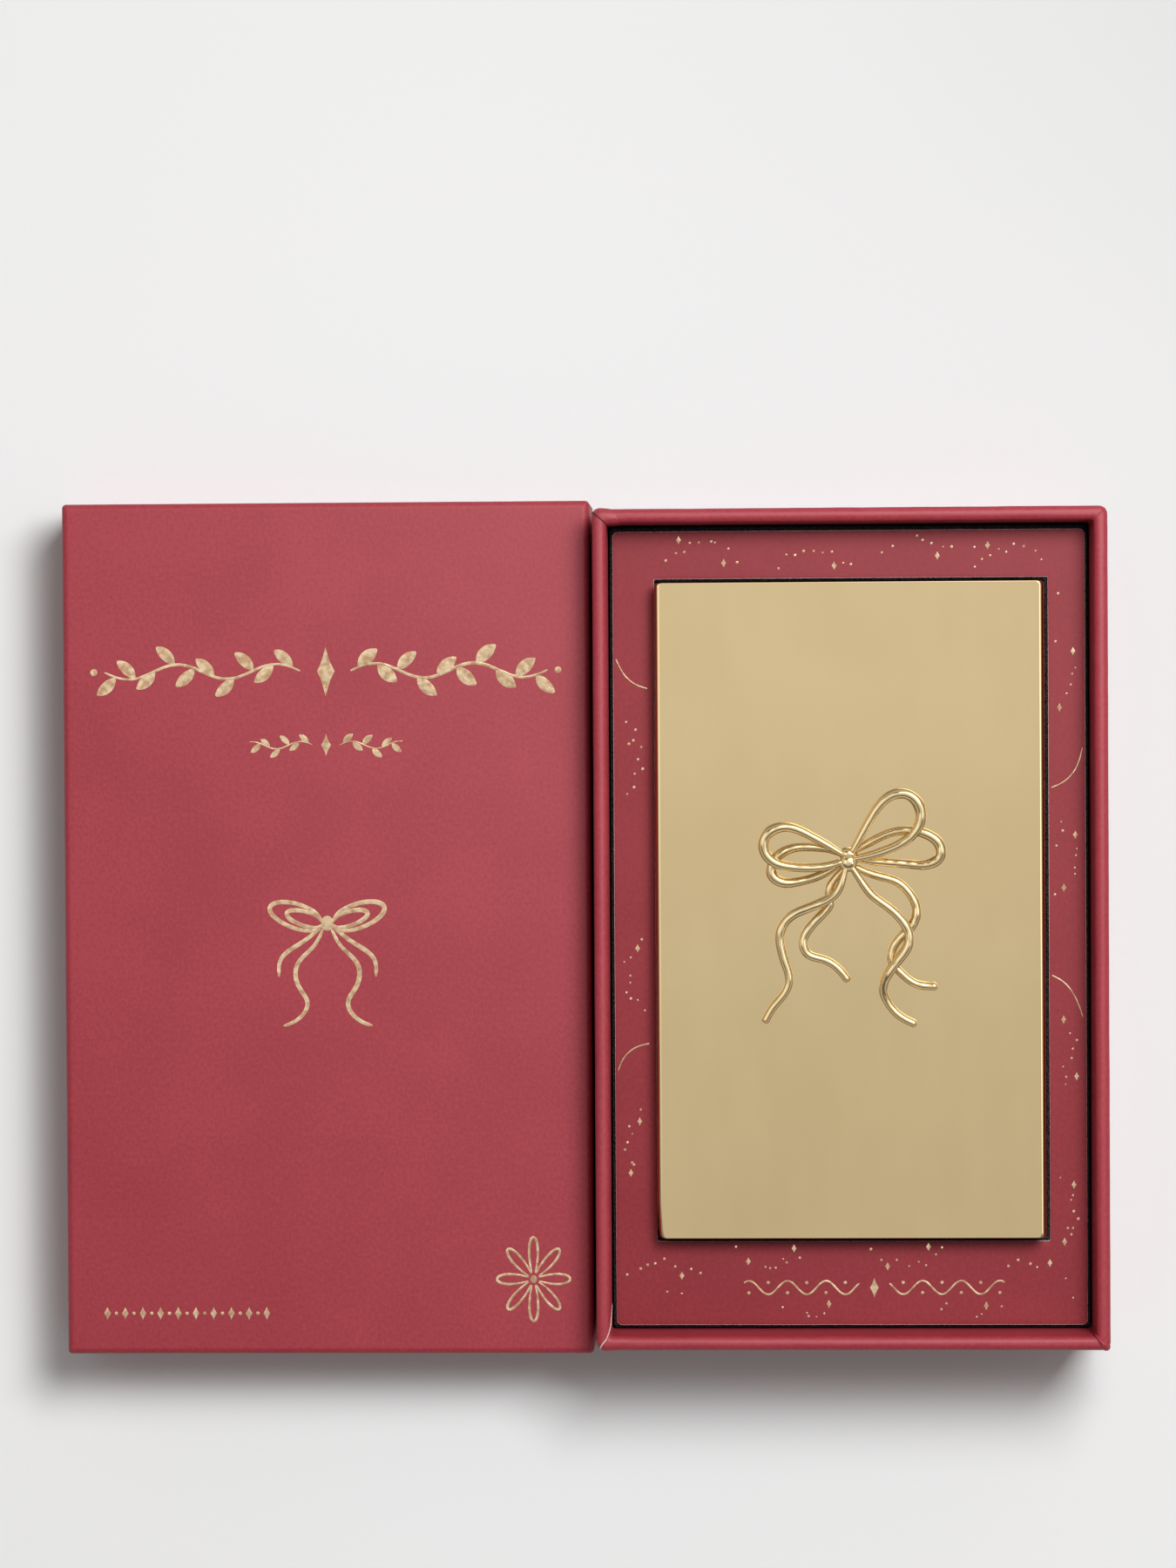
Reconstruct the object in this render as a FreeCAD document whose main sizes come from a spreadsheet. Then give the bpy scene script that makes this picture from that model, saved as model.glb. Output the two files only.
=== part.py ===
import FreeCAD, Part
import math
import os
import Sketcher

# A metal matchbox sleeve with a bent-wire bow, in its paper-wrapped gift box.
# Origin: centre of the tray's underside. +X points across the tray, away from the
# lid that lies beside it, +Y points to the head of the box, and +Z points up.
# All sizes are in millimetres.

SIZES = {
    # The household matchbox that the sleeve slides over, and the sleeve
    "matchbox_width": 65.6,
    "matchbox_height": 19.6,
    "matchbox_clearance": 0.4,
    "sleeve_length": 115.0,
    "sleeve_sheet": 0.8,
    "sleeve_inner_bend": 0.3,
    "striker_end_margin": 11.5,
    "striker_edge_margin": 4.7,
    "striker_corner": 2.0,
    # The wire bow on the sleeve's top face
    "bow_width": 30.8,
    "bow_wire": 1.3,
    "bow_knot_wrap": 0.35,
    "bow_knot_stretch": 1.0,
    "bow_knot_x": -0.4,
    "bow_knot_y": 8.9,
    "bow_cross_gap": 0.1,
    "bow_seat": 0.02,
    # The insert: foam pad, foam frame and printed card
    "foam_pad": 1.5,
    "foam_well_gap": 0.3,
    "foam_wall_gap": 0.25,
    "card_thickness": 0.5,
    "card_corner": 1.0,
    "card_window_gap": 0.65,
    "card_side_margin": 7.1,
    "card_head_margin": 9.1,
    "card_foot_margin": 15.5,
    "card_wall_gap": 0.55,
    "sleeve_proud": 5.0,
    "seat_gap": 0.05,
    # Boards and papers of the box
    "tray_board": 2.0,
    "lid_board": 1.3,
    "paper": 0.15,
    "stay_paper": 0.1,
    "glue_film": 0.03,
    "stay_leg": 12.0,
    "stay_end_margin": 3.0,
    "lining_margin": 1.0,
    # The tray
    "bow_room": 3.9,
    "tray_corner": 1.5,
    "tray_rim_round": 0.85,
    "tray_turn_in": 16.0,
    "tray_turn_under": 12.0,
    # The lid, lying beside the tray
    "lid_height": 20.0,
    "lid_clearance": 0.25,
    "lid_gap": 0.8,
    "lid_corner": 1.25,
    "lid_edge_round": 1.2,
    "lid_rim_round": 0.3,
    "lid_turn_in": 14.0,
}

# Sleeve
SLEEVE_BORE_WIDTH = "(Sizes.matchbox_width + 2 * Sizes.matchbox_clearance)"
SLEEVE_BORE_HEIGHT = "(Sizes.matchbox_height + 2 * Sizes.matchbox_clearance)"
SLEEVE_WIDTH = f"({SLEEVE_BORE_WIDTH} + 2 * Sizes.sleeve_sheet)"
SLEEVE_HEIGHT = f"({SLEEVE_BORE_HEIGHT} + 2 * Sizes.sleeve_sheet)"

# Card, and the sleeve's place in it along the box
CARD_WINDOW_WIDTH = f"({SLEEVE_WIDTH} + 2 * Sizes.card_window_gap)"
CARD_WINDOW_LENGTH = "(Sizes.sleeve_length + 2 * Sizes.card_window_gap)"
CARD_WIDTH = f"({CARD_WINDOW_WIDTH} + 2 * Sizes.card_side_margin)"
CARD_LENGTH = f"({CARD_WINDOW_LENGTH} + Sizes.card_head_margin + Sizes.card_foot_margin)"
SLEEVE_Y = "((Sizes.card_foot_margin - Sizes.card_head_margin) / 2)"

# Papers outside and inside each board
OUTER_STACK = "(Sizes.paper + Sizes.stay_paper + 2 * Sizes.glue_film)"
INNER_STACK = "(Sizes.paper + Sizes.glue_film)"

# Tray, across and along
TRAY_INNER_WIDTH = f"({CARD_WIDTH} + 2 * Sizes.card_wall_gap)"
TRAY_INNER_LENGTH = f"({CARD_LENGTH} + 2 * Sizes.card_wall_gap)"
TRAY_WALL = f"(Sizes.tray_board + {OUTER_STACK} + {INNER_STACK})"
TRAY_WIDTH = f"({TRAY_INNER_WIDTH} + 2 * {TRAY_WALL})"
TRAY_LENGTH = f"({TRAY_INNER_LENGTH} + 2 * {TRAY_WALL})"

# Heights from the underside up to the rim
WRAP_LOW = "(Sizes.paper + Sizes.glue_film)"
WRAP_FLOOR = f"({WRAP_LOW} + Sizes.paper)"
FLOOR_LOW = f"({WRAP_LOW} + {OUTER_STACK})"
FLOOR_TOP = f"({FLOOR_LOW} + Sizes.tray_board)"
LINING_LOW = f"({FLOOR_TOP} + Sizes.glue_film)"
LINING_TOP = f"({LINING_LOW} + Sizes.paper)"
PAD_LOW = f"({LINING_TOP} + Sizes.seat_gap)"
PAD_TOP = f"({PAD_LOW} + Sizes.foam_pad)"
SLEEVE_LOW = f"({PAD_TOP} + Sizes.seat_gap)"
SLEEVE_TOP = f"({SLEEVE_LOW} + {SLEEVE_HEIGHT})"
CARD_TOP = f"({SLEEVE_TOP} - Sizes.sleeve_proud)"
CARD_LOW = f"({CARD_TOP} - Sizes.card_thickness)"
FOAM_LOW = f"({PAD_TOP} + Sizes.glue_film)"
FOAM_TOP = f"({CARD_LOW} - Sizes.glue_film)"
RIM = f"({SLEEVE_TOP} + Sizes.bow_room)"

# Lid
LID_WALL = f"(Sizes.lid_board + {OUTER_STACK} + {INNER_STACK})"
LID_INNER_WIDTH = f"({TRAY_WIDTH} + 2 * Sizes.lid_clearance)"
LID_INNER_LENGTH = f"({TRAY_LENGTH} + 2 * Sizes.lid_clearance)"
LID_WIDTH = f"({LID_INNER_WIDTH} + 2 * {LID_WALL})"
LID_LENGTH = f"({LID_INNER_LENGTH} + 2 * {LID_WALL})"
LID_X = f"(-{TRAY_WIDTH} / 2 - Sizes.lid_gap - {LID_WIDTH} / 2)"
LID_BOARD_TOP = f"(Sizes.lid_height - {OUTER_STACK})"
LID_BOARD_LOW = f"({LID_BOARD_TOP} - Sizes.lid_board)"

# Knot: a band round two wires side by side and two on top of each other
KNOT_WIDTH = "(2 * Sizes.bow_wire + 2 * Sizes.bow_knot_wrap)"
KNOT_LENGTH = f"({KNOT_WIDTH} + Sizes.bow_knot_stretch)"
KNOT_LOW = f"({SLEEVE_TOP} + Sizes.bow_seat)"
KNOT_TOP = f"({KNOT_LOW} + 2 * Sizes.bow_wire + Sizes.bow_cross_gap + Sizes.bow_knot_wrap)"
KNOT_Y = f"({SLEEVE_Y} + Sizes.bow_knot_y)"
KNOT_CORNER_SHARE = 0.48
KNOT_CROWN_SHARE = 0.3

# A rounding is never more than this share of the board that it is on
ROUND_SHARE = 0.45
TRAY_RIM_BOARD = f"min(Sizes.tray_rim_round; {ROUND_SHARE} * Sizes.tray_board)"
LID_RIM_BOARD = f"min(Sizes.lid_rim_round; {ROUND_SHARE} * Sizes.lid_board)"

# How far a cutting box reaches past what it cuts
REACH = 5

# Two places nearer than this are the same place
TOUCH = 1e-6

# The bow's wires, as points from the knot's centre, chosen by eye. They are drawn for a
# bow that is BOW_DRAWN_WIDTH wide between its outermost points.
# Each wire leaves the knot at start_angle, and a loop comes back to it at end_angle.
# The third number is the lift: 0 lies on the sleeve, 1 passes over another wire.
BOW_DRAWN_WIDTH = 30.8
BOW_WIRES = {
    "bow_loop_upper_left": {
        "start_angle": 140,
        "points": [
            (-4.0, 2.8, 1), (-7.1, 4.5, 1), (-10.2, 5.7, 1), (-12.8, 5.4, 1), (-14.6, 3.8, 1),
            (-14.5, 1.3, 1), (-12.9, -0.4, 1), (-10.0, -1.2, 1), (-6.5, -1.4, 1), (-3.6, -1.1, 1),
        ],
        "end_angle": 195,
    },
    "bow_loop_lower_left": {
        "start_angle": 143,
        "points": [
            (-3.8, 1.9, 0), (-6.5, 2.2, 0), (-9.2, 2.1, 0), (-11.6, 1.2, 0), (-13.2, -0.6, 0),
            (-13.3, -2.6, 0), (-11.6, -3.9, 0), (-9.0, -3.9, 0), (-5.8, -3.1, 0), (-3.2, -1.9, 0),
        ],
        "end_angle": 197,
    },
    "bow_loop_upper_right": {
        "start_angle": 60,
        "points": [
            (2.3, 4.3, 1), (3.8, 7.0, 1), (5.5, 9.5, 1), (7.7, 11.2, 1), (10.2, 11.4, 1), (12.2, 9.8, 1),
            (12.7, 7.4, 1), (11.8, 5.0, 1), (9.8, 3.1, 1), (7.0, 1.7, 1), (4.2, 0.8, 1),
        ],
        "end_angle": 5,
    },
    "bow_loop_lower_right": {
        "start_angle": 62,
        "points": [
            (3.7, 2.9, 0), (6.0, 4.1, 0), (8.6, 4.9, 0), (11.4, 5.0, 0), (14.1, 4.2, 0), (16.0, 2.4, 0),
            (15.9, 0.3, 0), (14.0, -0.9, 0), (11.0, -0.9, 0), (7.5, -0.6, 0), (4.2, -0.3, 0),
        ],
        "end_angle": 10,
    },
    "bow_tail_left_outer": {
        "start_angle": 245,
        "points": [
            (-1.2, -4.0, 1), (-2.3, -6.0, 1), (-4.6, -7.5, 1), (-7.6, -8.7, 0.5), (-10.4, -10.2, 0),
            (-11.9, -12.5, 0), (-11.8, -15.4, 0), (-11.0, -18.3, 0), (-10.4, -20.8, 0),
            (-11.2, -23.3, 0), (-13.1, -25.6, 0), (-14.8, -28.5, 0),
        ],
    },
    "bow_tail_left_inner": {
        "start_angle": 250,
        "points": [
            (-2.6, -3.7, 0), (-3.4, -5.5, 0), (-3.2, -7.6, 0), (-4.6, -9.6, 0), (-6.7, -11.8, 0),
            (-7.9, -14.2, 0), (-7.2, -16.4, 0), (-4.6, -17.4, 0), (-2.2, -18.7, 0), (0.0, -21.3, 0),
        ],
    },
    "bow_tail_right_inner": {
        "start_angle": 300,
        "points": [
            (2.4, -4.0, 1), (4.0, -6.1, 1), (6.6, -8.1, 1), (9.1, -10.4, 1), (10.5, -13.0, 1),
            (10.2, -15.3, 1), (8.6, -17.6, 1), (6.9, -20.0, 1), (6.0, -22.4, 0.4), (6.8, -25.0, 0),
            (8.8, -27.3, 0), (11.8, -28.9, 0),
        ],
    },
    "bow_tail_right_outer": {
        "start_angle": 315,
        "points": [
            (3.4, -2.3, 0), (6.0, -3.1, 0), (8.6, -4.0, 0), (10.8, -6.1, 0), (11.9, -8.8, 0),
            (11.2, -11.4, 0), (9.2, -13.5, 0), (7.7, -15.6, 0), (7.6, -17.8, 0), (9.1, -19.8, 0),
            (11.6, -21.7, 0), (15.5, -22.2, 0),
        ],
    },
}
# A bend takes this share of the shorter run beside it
BEND_SHARE = 0.45
# A wire starts this far out from the knot's centre, as a share of the knot's own half size
WIRE_ROOT = 0.78

doc = FreeCAD.newDocument("matchbox_holder")
sheet = doc.addObject("Spreadsheet::Sheet", "Sizes")
for row, (alias, value) in enumerate(SIZES.items(), 1):
    sheet.set(f"A{row}", alias)
    sheet.set(f"B{row}", str(value))
    sheet.setAlias(f"B{row}", alias)
doc.recompute()


def size(expression):
    """The number that an expression on the sheet gives now."""
    return float(sheet.evalExpression(str(expression)))


# Sketches and features

def centred_rectangle(body, name, role, width, length, level="0", shift="0"):
    """A rectangle about the plane's origin, raised by level and moved by shift along its second axis."""
    sketch = body.newObject("Sketcher::SketchObject", name)
    plane = next(item for item in body.Origin.OriginFeatures if item.Role == role)
    sketch.AttachmentSupport = (plane, "")
    sketch.MapMode = "FlatFace"
    sketch.setExpression("AttachmentOffset.Base.y", shift)
    sketch.setExpression("AttachmentOffset.Base.z", level)
    corners = [FreeCAD.Vector(x, y, 0) for x, y in ((-1, -1), (1, -1), (1, 1), (-1, 1))]
    for start, end in zip(corners, corners[1:] + corners[:1]):
        sketch.addGeometry(Part.LineSegment(start, end), False)
    for line, kind in enumerate(("Horizontal", "Vertical", "Horizontal", "Vertical")):
        sketch.addConstraint(Sketcher.Constraint("Coincident", line, 2, (line + 1) % 4, 1))
        sketch.addConstraint(Sketcher.Constraint(kind, line))
    sketch.addConstraint(Sketcher.Constraint("Symmetric", 0, 1, 2, 1, -1, 1))
    for kind, line, expression in (("DistanceX", 0, width), ("DistanceY", 1, length)):
        index = sketch.addConstraint(Sketcher.Constraint(kind, line, 1, line, 2, 2.0))
        sketch.setExpression(f"Constraints[{index}]", expression)
    return sketch


def pad(body, sketch, length, symmetric=False):
    feature = body.newObject("PartDesign::Pad", f"{sketch.Name}_pad")
    feature.Profile = sketch
    feature.SideType = "Symmetric" if symmetric else "One side"
    feature.setExpression("Length", length)
    doc.recompute()
    return feature


def pocket(body, sketch, length, upward=False, symmetric=False):
    """Cut the sketch out of the body, and make sure that the cut took something away."""
    before = body.Shape.Volume
    feature = body.newObject("PartDesign::Pocket", f"{sketch.Name}_pocket")
    feature.Profile = sketch
    feature.SideType = "Symmetric" if symmetric else "One side"
    feature.Reversed = upward
    feature.setExpression("Length", length)
    doc.recompute()
    if not body.Shape.Volume < before:
        raise RuntimeError(f"{feature.Name} cuts nothing")
    return feature


def fillet(body, edge_test, radius):
    """Round the edges of the body's last feature that pass the test."""
    base = body.Tip
    edges = [f"Edge{number}" for number, edge in enumerate(base.Shape.Edges, 1) if edge_test(edge)]
    feature = body.newObject("PartDesign::Fillet", f"{body.Name}_round")
    feature.Base = (base, edges)
    feature.setExpression("Radius", radius)
    doc.recompute()
    return feature


def runs_along(axis):
    """A test for straight edges along one axis, X, Y or Z."""
    others = [name for name in "XYZ" if name != axis]

    def test(edge):
        box = edge.BoundBox
        return all(getattr(box, f"{name}Length") < TOUCH for name in others)

    return test


def lies_at(level):
    """A test for edges that lie flat at one height."""
    height = size(level)

    def test(edge):
        box = edge.BoundBox
        return abs(box.ZMin - height) < TOUCH and abs(box.ZMax - height) < TOUCH

    return test


def inside_bore(width, height):
    """A test for edges along Y that lie on the wall of a bore about the Y axis."""
    along_y = runs_along("Y")
    limit_x = size(width) / 2 + TOUCH
    limit_z = size(height) / 2 + TOUCH

    def test(edge):
        box = edge.BoundBox
        return along_y(edge) and abs(box.XMin) < limit_x and abs(box.ZMin) < limit_z

    return test


def crosses_sheet(thickness):
    """A test for edges along X that are as short as a sheet is thick."""
    along_x = runs_along("X")
    limit = size(thickness) + TOUCH
    return lambda edge: along_x(edge) and edge.Length < limit


# Shapes that several pieces share

def grown(outline, margin):
    """A width and length with a margin added on every side."""
    return tuple(f"({side} + 2 * ({margin}))" for side in outline)


def block(label, width, length, low, high, corner=None, x="0"):
    """An upright block with rounded vertical corners."""
    body = doc.addObject("PartDesign::Body", label)
    body.Label = label
    body.setExpression("Placement.Base.x", x)
    sketch = centred_rectangle(body, f"{label}_outline", "XY_Plane", width, length, low)
    pad(body, sketch, f"{high} - {low}")
    if corner:
        fillet(body, runs_along("Z"), corner)
    return body


def cup(label, outer, inner, low, high, bottom, corner, rim, opens_up=True, x="0", closed_edge=None):
    """A block hollowed from its mouth as far as bottom, with its rim rounded inside and out."""
    body = block(label, outer[0], outer[1], low, high, corner, x)
    if closed_edge:
        fillet(body, lies_at(low if opens_up else high), closed_edge)
    mouth = high if opens_up else low
    depth = f"{high} - {bottom}" if opens_up else f"{bottom} - {low}"
    hollow = centred_rectangle(body, f"{label}_hollow", "XY_Plane", inner[0], inner[1], mouth)
    pocket(body, hollow, depth, upward=not opens_up)
    fillet(body, lies_at(mouth), rim)
    return body


def windowed_plate(label, outer, window, low, high, corner=None):
    """A plate with a window for the sleeve, off centre along Y where the sleeve is."""
    body = block(label, outer[0], outer[1], low, high, corner)
    sketch = centred_rectangle(body, f"{label}_window", "XY_Plane", window[0], window[1], high, SLEEVE_Y)
    pocket(body, sketch, f"{high} - {low}")
    return body


def box(label, low, high):
    """A box from one corner to the opposite one, both given as expressions."""
    item = doc.addObject("Part::Box", label)
    for side, axis, start, end in zip(("Length", "Width", "Height"), "xyz", low, high):
        item.setExpression(f"Placement.Base.{axis}", f"{start}")
        item.setExpression(side, f"({end}) - ({start})")
    return item


def combine(kind, label, base, tool):
    item = doc.addObject(kind, label)
    item.Label = label
    item.Base = base
    item.Tool = tool
    return item


def panel(label, core, low, high):
    """The stretch of a board shell that lies inside a box."""
    return combine("Part::Common", label, core, box(f"{label}_extent", low, high))


def wall_panels(prefix, core, inner, outer, low, high, x="0"):
    """Four walls of a board shell: the long ones full length, the short ones between them."""
    half_width, half_length = (f"{side} / 2" for side in inner)
    far_x, far_y = (f"({side} / 2 + {REACH})" for side in outer)
    spans = {
        "left": ((f"{x} - {far_x}", f"-{far_y}"), (f"{x} - {half_width}", far_y)),
        "right": ((f"{x} + {half_width}", f"-{far_y}"), (f"{x} + {far_x}", far_y)),
        "head": ((f"{x} - {half_width}", half_length), (f"{x} + {half_width}", far_y)),
        "foot": ((f"{x} - {half_width}", f"-{far_y}"), (f"{x} + {half_width}", f"-{half_length}")),
    }
    return [
        panel(f"{prefix}_{side}_board", core, (*start, low), (*end, high))
        for side, (start, end) in spans.items()
    ]


def corner_stays(label, board, low, high, corner, x="0"):
    """Paper angles glued round the four upright corners of the boards."""
    film = "Sizes.glue_film"
    stay = f"({film} + Sizes.stay_paper)"
    skin = block(f"{label}_skin", *grown(board, stay), low, high, f"{corner} + {stay}", x)
    boards = block(f"{label}_boards", *grown(board, film), low, high, f"{corner} + {film}", x)
    ring = combine("Part::Cut", f"{label}_ring", skin, boards)
    far_x, far_y = (f"({side} / 2 + {REACH})" for side in board)
    near_x, near_y = (f"({side} / 2 - Sizes.stay_leg)" for side in board)
    across = box(f"{label}_across", (f"{x} - {near_x}", f"-{far_y}", low), (f"{x} + {near_x}", far_y, high))
    along = box(f"{label}_along", (f"{x} - {far_x}", f"-{near_y}", low), (f"{x} + {far_x}", near_y, high))
    ends = combine("Part::Cut", f"{label}_ends", ring, across)
    return combine("Part::Cut", label, ends, along)


# Tray

def make_tray():
    outer = (TRAY_WIDTH, TRAY_LENGTH)
    inner = (TRAY_INNER_WIDTH, TRAY_INNER_LENGTH)
    board_outer = grown(outer, f"-{OUTER_STACK}")
    board_inner = grown(inner, INNER_STACK)
    board_top = f"({RIM} - {INNER_STACK})"
    board_corner = f"(Sizes.tray_corner - {OUTER_STACK})"

    core = cup(
        "tray_core", board_outer, board_inner, FLOOR_LOW, board_top, FLOOR_TOP, board_corner, TRAY_RIM_BOARD
    )
    pieces = wall_panels("tray", core, board_inner, outer, FLOOR_LOW, board_top)
    half = [f"{side} / 2" for side in board_inner]
    pieces.append(
        panel("tray_floor_board", core, (f"-{half[0]}", f"-{half[1]}", FLOOR_LOW), (*half, FLOOR_TOP))
    )

    stay_low = f"({FLOOR_LOW} + Sizes.stay_end_margin)"
    stay_high = f"({board_top} - Sizes.stay_end_margin)"
    pieces.append(corner_stays("tray_corner_stays", board_outer, stay_low, stay_high, board_corner))

    envelope = cup(
        "tray_wrap_envelope", outer, inner, WRAP_LOW, RIM, WRAP_FLOOR, "Sizes.tray_corner",
        f"{TRAY_RIM_BOARD} + {INNER_STACK}",
    )
    under = centred_rectangle(
        envelope, "tray_wrap_opening", "XY_Plane",
        *grown(outer, "-Sizes.tray_turn_under"), WRAP_FLOOR,
    )
    pocket(envelope, under, "Sizes.paper")
    board_space = cup(
        "tray_board_space", grown(outer, "-Sizes.paper"), grown(inner, "Sizes.paper"), WRAP_FLOOR,
        f"({RIM} - Sizes.paper)", f"({RIM} - Sizes.tray_turn_in)", "Sizes.tray_corner - Sizes.paper",
        f"{TRAY_RIM_BOARD} + Sizes.glue_film",
    )
    pieces.append(combine("Part::Cut", "tray_wrap", envelope, board_space))

    sheet_outline = grown(outer, "-Sizes.lining_margin")
    pieces.append(block("tray_base_sheet", *sheet_outline, "0", "Sizes.paper", "Sizes.tray_corner"))
    lining_outline = grown(inner, "-Sizes.lining_margin")
    pieces.append(block("tray_floor_lining", *lining_outline, LINING_LOW, LINING_TOP))
    return pieces


# Lid

def make_lid():
    outer = (LID_WIDTH, LID_LENGTH)
    inner = (LID_INNER_WIDTH, LID_INNER_LENGTH)
    board_outer = grown(outer, f"-{OUTER_STACK}")
    board_inner = grown(inner, INNER_STACK)
    board_corner = f"(Sizes.lid_corner - {OUTER_STACK})"

    core = cup(
        "lid_core", board_outer, board_inner, INNER_STACK, LID_BOARD_TOP, LID_BOARD_LOW, board_corner,
        LID_RIM_BOARD, opens_up=False, x=LID_X, closed_edge=f"Sizes.lid_edge_round - {OUTER_STACK}",
    )
    pieces = wall_panels("lid", core, board_inner, outer, INNER_STACK, LID_BOARD_LOW, LID_X)
    far = [f"({side} / 2 + {REACH})" for side in outer]
    pieces.append(
        panel(
            "lid_top_board", core, (f"{LID_X} - {far[0]}", f"-{far[1]}", LID_BOARD_LOW),
            (f"{LID_X} + {far[0]}", far[1], f"{LID_BOARD_TOP} + {REACH}"),
        )
    )

    stay_low = f"({INNER_STACK} + Sizes.stay_end_margin)"
    stay_high = f"({LID_BOARD_TOP} - Sizes.stay_end_margin)"
    pieces.append(corner_stays("lid_corner_stays", board_outer, stay_low, stay_high, board_corner, LID_X))

    envelope = cup(
        "lid_wrap_envelope", outer, inner, "0", "Sizes.lid_height", LID_BOARD_TOP, "Sizes.lid_corner",
        f"{LID_RIM_BOARD} + {INNER_STACK}", opens_up=False, x=LID_X, closed_edge="Sizes.lid_edge_round",
    )
    board_space = cup(
        "lid_board_space", grown(outer, "-Sizes.paper"), grown(inner, "Sizes.paper"), "Sizes.paper",
        "(Sizes.lid_height - Sizes.paper)", "Sizes.lid_turn_in", "Sizes.lid_corner - Sizes.paper",
        f"{LID_RIM_BOARD} + Sizes.glue_film", opens_up=False, x=LID_X,
        closed_edge="Sizes.lid_edge_round - Sizes.paper",
    )
    pieces.append(combine("Part::Cut", "lid_wrap", envelope, board_space))

    lining_outline = grown(inner, "-Sizes.lining_margin")
    lining_top = f"({LID_BOARD_LOW} - Sizes.glue_film)"
    pieces.append(
        block("lid_lining", *lining_outline, f"({lining_top} - Sizes.paper)", lining_top, x=LID_X)
    )
    return pieces


# Insert

def make_insert():
    foam = grown((TRAY_INNER_WIDTH, TRAY_INNER_LENGTH), "-Sizes.foam_wall_gap")
    well = grown((SLEEVE_WIDTH, "Sizes.sleeve_length"), "Sizes.foam_well_gap")
    card = (CARD_WIDTH, CARD_LENGTH)
    window = (CARD_WINDOW_WIDTH, CARD_WINDOW_LENGTH)
    return [
        block("foam_pad", *foam, PAD_LOW, PAD_TOP),
        windowed_plate("foam_frame", foam, well, FOAM_LOW, FOAM_TOP),
        windowed_plate("insert_card", card, window, CARD_LOW, CARD_TOP, "Sizes.card_corner"),
    ]


# Sleeve and bow

def make_sleeve():
    """A folded tube about the Y axis, open at both ends, with a striker window in each long side."""
    body = doc.addObject("PartDesign::Body", "sleeve_shell")
    body.Label = "sleeve_shell"
    body.setExpression("Placement.Base.y", SLEEVE_Y)
    body.setExpression("Placement.Base.z", f"{SLEEVE_LOW} + {SLEEVE_HEIGHT} / 2")
    outline = centred_rectangle(body, "sleeve_outline", "XZ_Plane", SLEEVE_WIDTH, SLEEVE_HEIGHT)
    pad(body, outline, "Sizes.sleeve_length", symmetric=True)
    fillet(body, runs_along("Y"), "Sizes.sleeve_inner_bend + Sizes.sleeve_sheet")
    bore = centred_rectangle(body, "sleeve_bore", "XZ_Plane", SLEEVE_BORE_WIDTH, SLEEVE_BORE_HEIGHT)
    pocket(body, bore, "Sizes.sleeve_length", symmetric=True)
    fillet(body, inside_bore(SLEEVE_BORE_WIDTH, SLEEVE_BORE_HEIGHT), "Sizes.sleeve_inner_bend")
    striker = centred_rectangle(
        body, "striker_window", "YZ_Plane", "Sizes.sleeve_length - 2 * Sizes.striker_end_margin",
        f"{SLEEVE_HEIGHT} - 2 * (Sizes.sleeve_sheet + Sizes.striker_edge_margin)",
    )
    pocket(body, striker, SLEEVE_WIDTH, symmetric=True)
    fillet(body, crosses_sheet("Sizes.sleeve_sheet"), "Sizes.striker_corner")
    return body


def make_knot():
    corner = f"{KNOT_CORNER_SHARE} * {KNOT_WIDTH}"
    knot = block("bow_knot", KNOT_WIDTH, KNOT_LENGTH, KNOT_LOW, KNOT_TOP, corner)
    fillet(knot, lies_at(KNOT_TOP), f"{KNOT_CROWN_SHARE} * {KNOT_WIDTH}")
    knot.setExpression("Placement.Base.x", "Sizes.bow_knot_x")
    knot.setExpression("Placement.Base.y", KNOT_Y)
    return knot


def bow_points(start_angle, points, end_angle=None):
    """The wire's points in the row frame, from its root in the knot to its end."""
    spread = size(f"Sizes.bow_width / {BOW_DRAWN_WIDTH}")
    drawn = [(spread * x, spread * y, lift) for x, y, lift in points]
    wire = size("Sizes.bow_wire")
    step = wire + size("Sizes.bow_cross_gap")
    reach_x = WIRE_ROOT * size(KNOT_WIDTH) / 2
    reach_y = WIRE_ROOT * size(KNOT_LENGTH) / 2
    origin = FreeCAD.Vector(size("Sizes.bow_knot_x"), size(KNOT_Y), size(KNOT_LOW))

    def root(angle, lift):
        """The point in the knot where a wire starts."""
        turn = math.radians(angle)
        return reach_x * math.cos(turn), reach_y * math.sin(turn), lift

    path = [root(start_angle, drawn[0][2])] + drawn
    if end_angle is not None:
        path.append(root(end_angle, drawn[-1][2]))
    return [origin + FreeCAD.Vector(x, y, wire / 2 + lift * step) for x, y, lift in path]


def bent_path(points):
    """Straight runs between the points, joined by tangent arcs as large as the runs allow."""
    edges = []
    start = points[0]
    for before, here, after in zip(points, points[1:], points[2:]):
        run_in = here - before
        run_out = after - here
        setback = BEND_SHARE * min(run_in.Length, run_out.Length)
        run_in.normalize()
        run_out.normalize()
        half_turn = run_in.getAngle(run_out) / 2
        radius = setback / math.tan(half_turn)
        inward = run_out - run_in
        inward.normalize()
        middle = here + inward * (radius / math.cos(half_turn) - radius)
        bend_start = here - run_in * setback
        bend_end = here + run_out * setback
        edges.append(Part.LineSegment(start, bend_start).toShape())
        edges.append(Part.Arc(bend_start, middle, bend_end).toShape())
        start = bend_end
    edges.append(Part.LineSegment(start, points[-1]).toShape())
    return Part.Wire(edges)


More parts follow.
